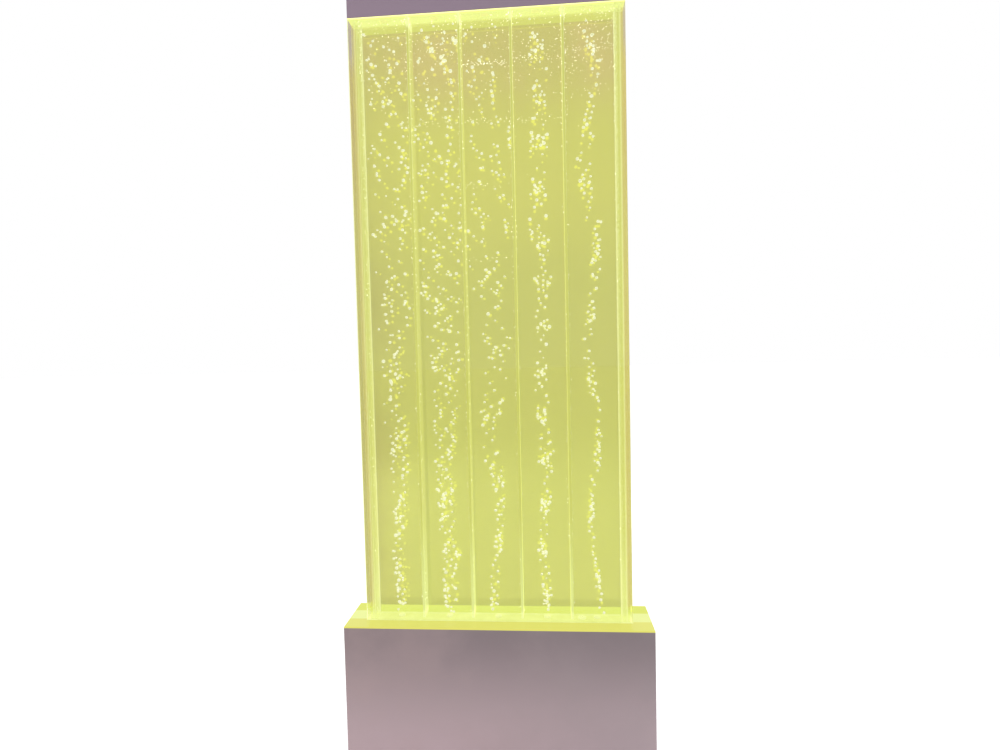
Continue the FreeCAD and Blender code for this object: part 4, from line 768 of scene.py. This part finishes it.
# End bars: solid acrylic bonded between the panes, clear when seen through the front. The polished outer face
# carries a painted reflection, a dimmer tan that turns rose and then to the cap's mauve at the top and to the
# deck's yellow low down, and a painted glow below the deck's top and along the upper edge. The left bar has a
# painted highlight line near its rear face.
BAR_BODY = ((0.08, 0.075, 0.03), (0.10, 0.095, 0.035))
BAR_MIRROR_TAN = (0.335, 0.300, 0.064)
BAR_MIRROR_ROSE = (0.325, 0.228, 0.066)
BAR_MIRROR_MAUVE = (0.250, 0.180, 0.240)
BAR_BASE = (0.860, 0.935, 0.370)
BAR_LINE = (0.86, 0.90, 0.46)
LINE_FROM, LINE_FULL = 0.0198, 0.0212
DECK_LINE, CLEAR_LINE, DECK_SLANT = 0.3806, 0.3645, 0.375
end_acrylic, tree, shader = new_finish("end_bar_acrylic")
x, y, z = place_of(tree)
outer = outermost(reckon("ABSOLUTE", x), TANK_HALF)
crown = outermost(z, TANK_TOP)
foot = past(z, DECK_TOP, -0.0010)
streaks = use(tree, brushing, Grain=(900, 900, 6))["Mask"]
# Painted reflection: tan, rose higher up and the cap's mauve at the top, streaked with glow.
tan = mix(span(z, 1.30, 1.68), BAR_MIRROR_TAN, BAR_MIRROR_ROSE)
tan = mix(span(z, 1.76, 1.85), tan, BAR_MIRROR_MAUVE)
tan = mix(span(streaks, 0.3, 0.9, 0.0, 0.25), tan, BAR_GLOW)
# Painted highlight: a bright line near the rear face of the left bar.
depth_line = overlap(span(y, LINE_FROM, LINE_FULL), reckon("LESS_THAN", x, 0.0))
shine = mix(depth_line, tan, BAR_LINE)
# Painted reflection of the deck's yellow low down, and a painted glow below the deck's top.
over_deck = reckon("MULTIPLY_ADD", y, DECK_SLANT, z)
shine = mix(past(over_deck, DECK_LINE, -0.001), shine, DECK_REAR)
shine = mix(foot, shine, BAR_BASE)
shown = overlap(outer, past(over_deck, CLEAR_LINE, 0.001))
shown = reckon("MAXIMUM", reckon("MAXIMUM", shown, crown), foot)
feed(shader, Base_Color=mix(streaks, *BAR_BODY), Roughness=0.06, IOR=1.49, Specular_IOR_Level=0.12,
     Emission_Color=mix(crown, shine, PANE_CROWN), Emission_Strength=1.0,
     Alpha=span(shown, 0, 1, 0.06, 0.96))
dress(end_acrylic, "left_end_bar", "right_end_bar")

# Dividers: thin acrylic strips bonded between the panes. A painted glow stands in for the light from below
# that
# leaves along their edges: bright upright lines, brightest at both ends, with a whiter painted highlight line
# at each glued corner.
STRIP_BODY = ((0.07, 0.067, 0.02), (0.09, 0.086, 0.03))
STRIP_GLOW = (0.590, 0.610, 0.140)
STRIP_SHADE = (0.545, 0.560, 0.125)
STRIP_FOOT = (0.700, 0.765, 0.260)
STRIP_END = (0.840, 0.910, 0.360)
STRIP_FADES = [((0.66, 0.40), STRIP_FOOT), ((0.374, 0.364), STRIP_END), ((1.878, 1.888), STRIP_END)]
STRIP_LINE = (0.86, 0.90, 0.52)
strip_acrylic, tree, shader = new_finish("divider_acrylic")
z = place_of(tree)["Z"]
across, inward, _ = add(tree, "SeparateXYZ", {0: add(tree, "TexCoord").outputs["Generated"]}).outputs
from_middle = reckon("ABSOLUTE", reckon("SUBTRACT", across, 0.5))
front_edge = span(inward, 0.05, 0.02)
beads = blotch(tree, 300, contrast=2.5)
# Painted highlight: a whiter beaded line by each glued front corner, strongest high up.
glued_corner_highlight = overlap(front_edge, span(from_middle, 0.34, 0.46), span(beads, 0.2, 0.7, 0.3, 1.0),
               span(z, 1.25, 1.75, 0.15, 1.0))
slow = blotch(tree, 5, contrast=1.8)
# Painted glow: patches of painted shade, brighter towards the foot and at both ends.
strip = mix(slow, STRIP_GLOW, STRIP_SHADE)
for heights, tone in STRIP_FADES:
    strip = mix(span(z, *heights), strip, tone)
feed(shader, Base_Color=mix(slow, *STRIP_BODY), Roughness=0.08, IOR=1.49, Specular_IOR_Level=0.2,
     Emission_Color=mix(glued_corner_highlight, strip, STRIP_LINE), Emission_Strength=1.0,
     Alpha=span(front_edge, 0, 1, 0.60, 0.94))
dress(strip_acrylic, *(f"divider_{i}" for i in range(1, 5)))

# Bubbles: a stream of air from each nozzle. It leaves as a tight wavering chain and breaks up on its way,
# more in the three channels on the left; each bubble is flattened and a little out of round.
CHANNEL_HALF, CHANNEL_DEPTH = 0.0624, 0.0205
STREAM_FROM, STREAM_TO = 0.362, 1.893
CHAIN_SHARE, SWAY_TURN = 0.14, 21
CROSSING, TWINS, TWIN_APART = 0.7, 0.14, (0.004, 0.009)
DEPTH_LEAST, DEPTH_MOST = 0.004, 0.016
FLATTENING, TILT = (0.70, 0.98), 0.5
DENT, DENT_SCALE = 0.16, 1.3
# Each stream's seed, gap between bubbles, half width below and above, share of the height in which it opens,
# strength of its pulse, number of clumps, and sway.
STREAMS = [
    (11, 0.0072, 0.012, 0.054, 0.55, 0.40, 8, 0.005),
    (23, 0.0053, 0.017, 0.056, 0.50, 0.30, 9, 0.006),
    (37, 0.0099, 0.010, 0.054, 0.50, 0.55, 9, 0.010),
    (41, 0.0102, 0.011, 0.022, 0.40, 0.75, 13, 0.006),
    (59, 0.0128, 0.006, 0.014, 0.60, 0.60, 9, 0.012),
]
BUBBLE_SMALL, BUBBLE_USUAL, BUBBLE_LARGE = 0.0020, 0.0034, 0.0053
BUBBLE_BODY = ((0.10, 0.10, 0.06), (0.14, 0.14, 0.10))
# Painted glow of the bubbles, and the stronger painted glow that the rear pane's mirror shows.
BUBBLE_WHITE = (0.83, 0.84, 0.61)
BUBBLE_YELLOW = (0.68, 0.71, 0.34)
BUBBLE_MIRRORED = (2.30, 2.35, 0.60)


def ball_template(rings, sides):
    """Directions and faces of a ball with a pole above and below."""
    points = [Vector((0, 0, 1))]
    for ring in range(1, rings):
        slope = math.pi * ring / rings
        for side in range(sides):
            turn = 2 * math.pi * (side + 0.5 * (ring % 2)) / sides
            points.append(Vector((math.sin(slope) * math.cos(turn), math.sin(slope) * math.sin(turn),
                                  math.cos(slope))))
    points.append(Vector((0, 0, -1)))
    faces = []
    for side in range(sides):
        after = (side + 1) % sides
        faces.append((0, 1 + side, 1 + after))
        for ring in range(rings - 2):
            here, below = 1 + ring * sides, 1 + (ring + 1) * sides
            faces.append((here + side, below + side, below + after))
            faces.append((here + side, below + after, here + after))
        last = 1 + (rings - 2) * sides
        faces.append((len(points) - 1, last + after, last + side))
    return points, faces


def make_bubbles(name, spots, finish, rings, sides):
    """One piece of many bubbles, each given by its place, radius, flattening, tilt and phase."""
    directions, faces = ball_template(rings, sides)
    corners, skin = [], []
    for centre, radius, flatten, tilt, phase in spots:
        turn = Matrix.Rotation(tilt, 3, "X") @ Matrix.Rotation(phase, 3, "Z")
        start = len(corners)
        for way in directions:
            dent = 1 + DENT * noise.noise(way * DENT_SCALE + Vector((phase * 7, tilt * 5, radius * 900)))
            shaped = Vector((way.x, way.y, way.z * flatten)) * (radius * dent)
            corners.append(centre + turn @ shaped)
        skin += [tuple(start + index for index in face) for face in faces]
    fit_piece(name, corners, skin, finish, "wall", smooth=True)


def bubble_finish(name, white, yellow, mirrored):
    """Air in lit water: a painted glow, whitest above and below, and brighter in the rear pane's mirror."""
    finish, tree, shader = new_finish(name)
    each = blotch(tree, 90, contrast=2.2)
    steep = reckon("ABSOLUTE", facing_up(tree))
    # Painted light: whiter where the bubble faces up and down; reflection rays get their own painted
    # strength.
    pale = overlap(span(steep, 0.0, 0.9, 0.60, 1.0), span(each, 0.2, 0.6, 0.3, 1.0))
    reflected = add(tree, "LightPath").outputs["Is Reflection Ray"]
    glint = mix(pale, yellow, white)
    feed(shader, Base_Color=mix(each, *BUBBLE_BODY), Roughness=0.05, IOR=1.33,
         Emission_Color=mix(reflected, glint, mirrored), Emission_Strength=1.0)
    return finish


air_bubble = bubble_finish("air_bubble", BUBBLE_WHITE, BUBBLE_YELLOW, BUBBLE_MIRRORED)
for number, (seed, gap, low, high, opens, pulse, clumps, sway) in enumerate(STREAMS):
    dice = random.Random(seed)
    middle = (number - 2) * CHANNEL_PITCH
    swing = dice.uniform(0, 6.28)
    side, height, spots = 1, STREAM_FROM, []
    while height < STREAM_TO:
        climb = (height - STREAM_FROM) / (STREAM_TO - STREAM_FROM)
        wide = low + (high - low) * min(1, max(0, climb - CHAIN_SHARE) / opens)
        side = -side if dice.random() < CROSSING else side
        across = sway * math.sin(swing + SWAY_TURN * climb) + side * wide * dice.random()
        at = Vector((across, dice.uniform(-1, 1) * min(DEPTH_MOST, DEPTH_LEAST + wide / 2), height))
        for _ in range(1 + (dice.random() < TWINS)):
            radius = dice.triangular(BUBBLE_SMALL, BUBBLE_LARGE, BUBBLE_USUAL)
            room, depth = CHANNEL_HALF - radius - 0.001, CHANNEL_DEPTH - radius
            centre = Vector((middle + min(room, max(-room, at.x)), min(depth, max(-depth, at.y)),
                             min(STREAM_TO, max(STREAM_FROM, at.z))))
            spots.append((centre, radius, dice.uniform(*FLATTENING), dice.uniform(-TILT, TILT),
                          dice.uniform(0, 3.14)))
            at = at + Vector((dice.choice((-1, 1)) * dice.uniform(*TWIN_APART), dice.gauss(0, 0.004),
                              dice.gauss(0, 0.007)))
        beat = 1 + pulse * math.sin(swing + 6.28 * clumps * climb)
        height += gap * beat * dice.uniform(0.45, 1.55)
    make_bubbles(f"bubbles_{number + 1}", spots, air_bubble, 8, 12)

# Clinging bubbles: fine beads of air on the inner face of the front pane. They gather near the water's
# surface, beside the dividers and along faint level lines where the water has stood.
PANE_INSIDE = -0.0213
WATER_TOP = 1.904
BEAD_SMALL, BEAD_LARGE = 0.00042, 0.00098
# Painted glints: the beads glow brighter than white.
BEAD_WHITE = (2.40, 2.40, 2.20)
BEAD_YELLOW = (2.20, 2.20, 1.50)
SURFACE_CROWDS = (90, 100, 70, 90, 180)
SIDE_CROWD, SIDE_FOOT = 80, 0.37
# Each line's channel, height and number of beads.
LEVEL_LINES = [(1, 1.637, 22), (2, 1.782, 70), (2, 1.640, 30), (2, 1.478, 22), (2, 1.292, 16), (3, 1.785, 40),
               (3, 1.640, 20), (4, 1.800, 30)]
clinging_bead = bubble_finish("clinging_bead", BEAD_WHITE, BEAD_YELLOW, BEAD_YELLOW)
dice = random.Random(97)
beads = []


def cling(x, z, size=1.0):
    """A fine bead at a point of the pane's inner face."""
    radius = size * dice.triangular(BEAD_SMALL, BEAD_LARGE, BEAD_SMALL)
    beads.append((Vector((x, PANE_INSIDE + radius * 0.4, z)), radius, 0.95, 0.0, dice.uniform(0, 3.14)))


for number, crowd in enumerate(SURFACE_CROWDS):
    middle = (number - 2) * CHANNEL_PITCH
    for _ in range(crowd):
        below = abs(dice.gauss(0, 0.11))
        cling(middle + dice.uniform(-1, 1) * CHANNEL_HALF * 0.96, WATER_TOP - 0.004 - min(below, 0.4))
    for side in (-1, 1):
        for _ in range(SIDE_CROWD):
            cling(middle + side * (CHANNEL_HALF - abs(dice.gauss(0.0022, 0.0016))),
                  WATER_TOP - dice.random() ** 1.6 * (WATER_TOP - SIDE_FOOT), 0.9)
for number, level, crowd in LEVEL_LINES:
    middle = (number - 2) * CHANNEL_PITCH
    for _ in range(crowd):
        cling(middle + (1 - 2 * dice.random() ** 0.8) * CHANNEL_HALF * 0.95, level + dice.gauss(0, 0.0045))
make_bubbles("clinging_bubbles", beads, clinging_bead, 4, 6)

# Water surface: a thin skin with a painted bright glow in each channel just below the cap, drawn up a little
# where it meets the walls and ruffled by the bubbles that break there.
SKIN_COLUMNS, SKIN_ROWS = 36, 14
SKIN_HALF, SKIN_DEPTH = 0.0623, 0.0219
DRAWN_UP, DRAWN_REACH = 0.0014, 0.0022
RIPPLE_HEIGHT, RIPPLE_SCALE = 0.0007, 70
WATER_BODY = ((0.30, 0.31, 0.12), (0.42, 0.43, 0.20))
LIT_WATER = (0.56, 0.60, 0.15)
LIT_RIPPLE = (0.74, 0.80, 0.26)
water_skin, tree, shader = new_finish("water_skin")
ruffle = blotch(tree, 130, contrast=2.0)
feed(shader, Base_Color=mix(ruffle, *WATER_BODY), Roughness=0.03, IOR=1.33,
     Emission_Color=mix(ruffle, LIT_WATER, LIT_RIPPLE), Emission_Strength=1.0,
     Alpha=span(ruffle, 0.2, 0.8, 0.14, 0.30), Normal=relief(ruffle, strength=0.3, depth=0.001))
corners, faces = [], []
for number in range(5):
    middle, first = (number - 2) * CHANNEL_PITCH, len(corners)
    for row in range(SKIN_ROWS + 1):
        for column in range(SKIN_COLUMNS + 1):
            x = SKIN_HALF * (2 * column / SKIN_COLUMNS - 1)
            y = SKIN_DEPTH * (2 * row / SKIN_ROWS - 1)
            rise = DRAWN_UP * math.exp(-min(SKIN_HALF - abs(x), SKIN_DEPTH - abs(y)) / DRAWN_REACH)
            ripple = RIPPLE_HEIGHT * noise.noise(Vector((middle + x, y, 0)) * RIPPLE_SCALE)
            corners.append((middle + x, y, WATER_TOP + rise + ripple))
    for row in range(SKIN_ROWS):
        for column in range(SKIN_COLUMNS):
            here = first + row * (SKIN_COLUMNS + 1) + column
            faces.append((here, here + 1, here + SKIN_COLUMNS + 2, here + SKIN_COLUMNS + 1))
fit_piece("water_surface", corners, faces, water_skin, "wall", smooth=True)

# Cap: walls and lid of the cabinet's laminate, and a white liner that closes the tank. The laminate is
# painted a little lighter towards its lower edge and its left end, and its inner faces and underside carry a
# painted yellow glow of the panel's light. The liner carries a painted full yellow glow from below, dimmer
# towards its rear.
CAP_MAUVE = (0.285, 0.212, 0.262)
CAP_LIT_LOW = (0.300, 0.222, 0.282)
CAP_TOP = 2.0
CAP_INSIDE = (0.344, 0.0245, 1.9945)
LINER_BODY = ((0.10, 0.10, 0.07), (0.12, 0.12, 0.09))
LINER_GLOW = (0.760, 0.850, 0.200)
LINER_PALE = (0.80, 0.88, 0.30)
LINER_EDGE = (0.620, 0.650, 0.110)
cap_laminate = satin_laminate("cap_laminate", CAP_MAUVE, CAP_LIT_LOW, CAP_LIT_LOW, CAP_MAUVE, TANK_TOP, CAP_TOP)
tree = cap_laminate.node_tree
x, y, z = place_of(tree)
# Painted glow: the inner faces and the underside of the walls and lid glow with the panel's yellow light.
from_middle = (reckon("ABSOLUTE", x), reckon("ABSOLUTE", y), z)
inside = overlap(*(reckon("LESS_THAN", *pair) for pair in zip(from_middle, CAP_INSIDE)))
inside = reckon("MAXIMUM", inside, reckon("LESS_THAN", z, TANK_TOP + 0.0003))
feed(tree.nodes["Principled BSDF"], Emission_Color=mix(inside, UNLIT, LINER_GLOW), Emission_Strength=0.85)
dress(cap_laminate, "cap_shell", "cap_lid")
cap_liner, tree, shader = new_finish("cap_liner_white")
drift = blotch(tree, 9, contrast=1.8)
# Painted glow of the panel's light, paler in patches and dimmer towards the rear edge.
glow = mix(span(drift, 0.2, 0.8, 0.0, 0.35), LINER_GLOW, LINER_PALE)
glow = mix(span(place_of(tree)["Y"], 0.010, 0.022), glow, LINER_EDGE)
feed(shader, Base_Color=mix(drift, *LINER_BODY), Emission_Color=glow, Emission_Strength=1.0, Roughness=0.35)
dress(cap_liner, "cap_liner")

# Service door and hinges: folded steel with a powder coat in the cabinet's colour, on two brushed steel
# hinges. Four screws hold each row of leaves.
DOOR_MAUVE = (0.36, 0.275, 0.290)
DOOR_DARK = (0.30, 0.230, 0.245)
DOOR_EDGE = (0.52, 0.44, 0.46)
HINGE_PALE = (0.66, 0.66, 0.67)
HINGE_DULL = (0.46, 0.46, 0.47)
HINGE_LEVELS, HINGE_SCREW = (0.086, 0.110, 0.246, 0.270), 0.0028
FRAME_LEAF, DOOR_LEAF = (-0.3395, 0.0652), (-0.3125, 0.0675)
powder_coat, tree, shader = new_finish("door_powder_coat")
peel = blotch(tree, 1400, contrast=1.6)
slow = blotch(tree, 7, contrast=1.5)
rubbed, eased = use(tree, worn_edges, Width=0.0008)
coat = mix(slow, DOOR_DARK, DOOR_MAUVE)
feed(shader, Base_Color=mix(span(rubbed, 0, 1, 0, 0.5), coat, DOOR_EDGE),
     Roughness=span(slow, 0, 1, 0.42, 0.55),
     Normal=relief(peel, strength=0.18, depth=0.0002, normal=eased))
dress(powder_coat, "service_door")
brushed_hinge = metal("brushed_hinge", HINGE_PALE, HINGE_DULL, (700, 700, 20), 0.30)
dress(brushed_hinge, "frame_hinge_leaves", "door_hinge_leaves")
screw_heads("frame_hinge_screws", [(*FRAME_LEAF, level) for level in HINGE_LEVELS], BACK, HINGE_SCREW,
            brushed_hinge, "wall")
screw_heads("door_hinge_screws", [(*DOOR_LEAF, level) for level in HINGE_LEVELS], BACK, HINGE_SCREW,
            brushed_hinge, "door")

# Room: a plain pale floor that fades into white, and even light from all round. Two large soft lamps stand
# beside the camera and one behind the bubble wall.
FLOOR_REACH = 30.0
FLOOR_PAINT = ((0.86, 0.86, 0.86), (0.90, 0.90, 0.90))
WHITE = (1, 1, 1)
WORLD_FILL = 0.46
floor_mesh = bpy.data.meshes.new("studio_floor")
floor_corners = [(x * FLOOR_REACH, y * FLOOR_REACH, 0) for x, y in ((-1, -1), (1, -1), (1, 1), (-1, 1))]
floor_mesh.from_pydata(floor_corners, [], [(0, 1, 2, 3)])
studio_floor = set_up("studio_floor", floor_mesh)
floor_paint, tree, shader = new_finish("floor_paint")
feed(shader, Base_Color=mix(blotch(tree, 2, contrast=0.6), *FLOOR_PAINT), Roughness=0.7)
seen = add(tree, "LightPath").outputs
glow = add(tree, "Emission", {"Color": WHITE, "Strength": 0.62})
both = add(tree, "AddShader", {0: shader.outputs[0], 1: glow.outputs[0]})
direct = reckon("MAXIMUM", seen["Is Camera Ray"], seen["Is Transmission Ray"])
chosen = add(tree, "MixShader", {0: direct, 1: shader.outputs[0], 2: both.outputs[0]})
tree.links.new(chosen.outputs[0], tree.nodes["Material Output"].inputs["Surface"])
floor_mesh.materials.append(floor_paint)

studio = bpy.data.worlds.new("studio")
bpy.context.scene.world = studio
studio.use_nodes = True
tree = studio.node_tree
seen = add(tree, "LightPath").outputs
direct = reckon("MAXIMUM", seen["Is Camera Ray"], seen["Is Glossy Ray"])
direct = reckon("MAXIMUM", direct, seen["Is Transmission Ray"])
level = add(tree, "MapRange", {"Value": direct, 3: WORLD_FILL, 4: 1.0}).outputs[0]
feed(tree.nodes["Background"], Color=WHITE, Strength=level)


def softbox(name, place, aim, width, height, watts):
    """A large soft lamp that faces a point."""
    lamp = bpy.data.lights.new(name, "AREA")
    lamp.shape = "RECTANGLE"
    lamp.size, lamp.size_y = width, height
    lamp.energy = watts
    holder = set_up(name, lamp)
    holder.location = place
    holder.rotation_euler = (Vector(aim) - Vector(place)).to_track_quat("-Z", "Y").to_euler()
    holder.visible_glossy = False
    holder.visible_transmission = False


softbox("left_softbox", (-2.4, -2.6, 2.2), (0, 0, 0.8), 2.0, 2.4, 46)
softbox("right_softbox", (2.8, -2.2, 2.0), (0, 0, 0.8), 2.0, 2.4, 30)
softbox("rear_softbox", (0.6, 3.2, 2.4), (0, 0, 0.9), 2.6, 2.0, 44)

# Camera: about a metre up and a little right of the middle, turned slightly left and down, with a wide lens.
# From 1.4 metres in front, the cap's upper edge and the cabinet's lower edge stay outside the picture.
LENS, SENSOR = 20.43, 36.0
EYE = Vector((0.131, -1.485, 1.059))
YAW, PITCH, ROLL = math.radians(4.33), math.radians(-2.59), math.radians(1.30)
lens = bpy.data.cameras.new("camera")
lens.lens, lens.sensor_width, lens.sensor_fit = LENS, SENSOR, "HORIZONTAL"
camera = set_up("camera", lens)
aim = Matrix.Rotation(YAW, 3, "Z") @ Matrix.Rotation(PITCH, 3, "X") @ Matrix.Rotation(ROLL, 3, "Y")
right, ahead, above = (aim.col[i] for i in range(3))
facing = Matrix((right, above, -ahead)).transposed()
camera.matrix_world = Matrix.Translation(EYE) @ facing.to_4x4()
bpy.context.scene.camera = camera
bpy.context.scene.view_settings.view_transform = "Standard"
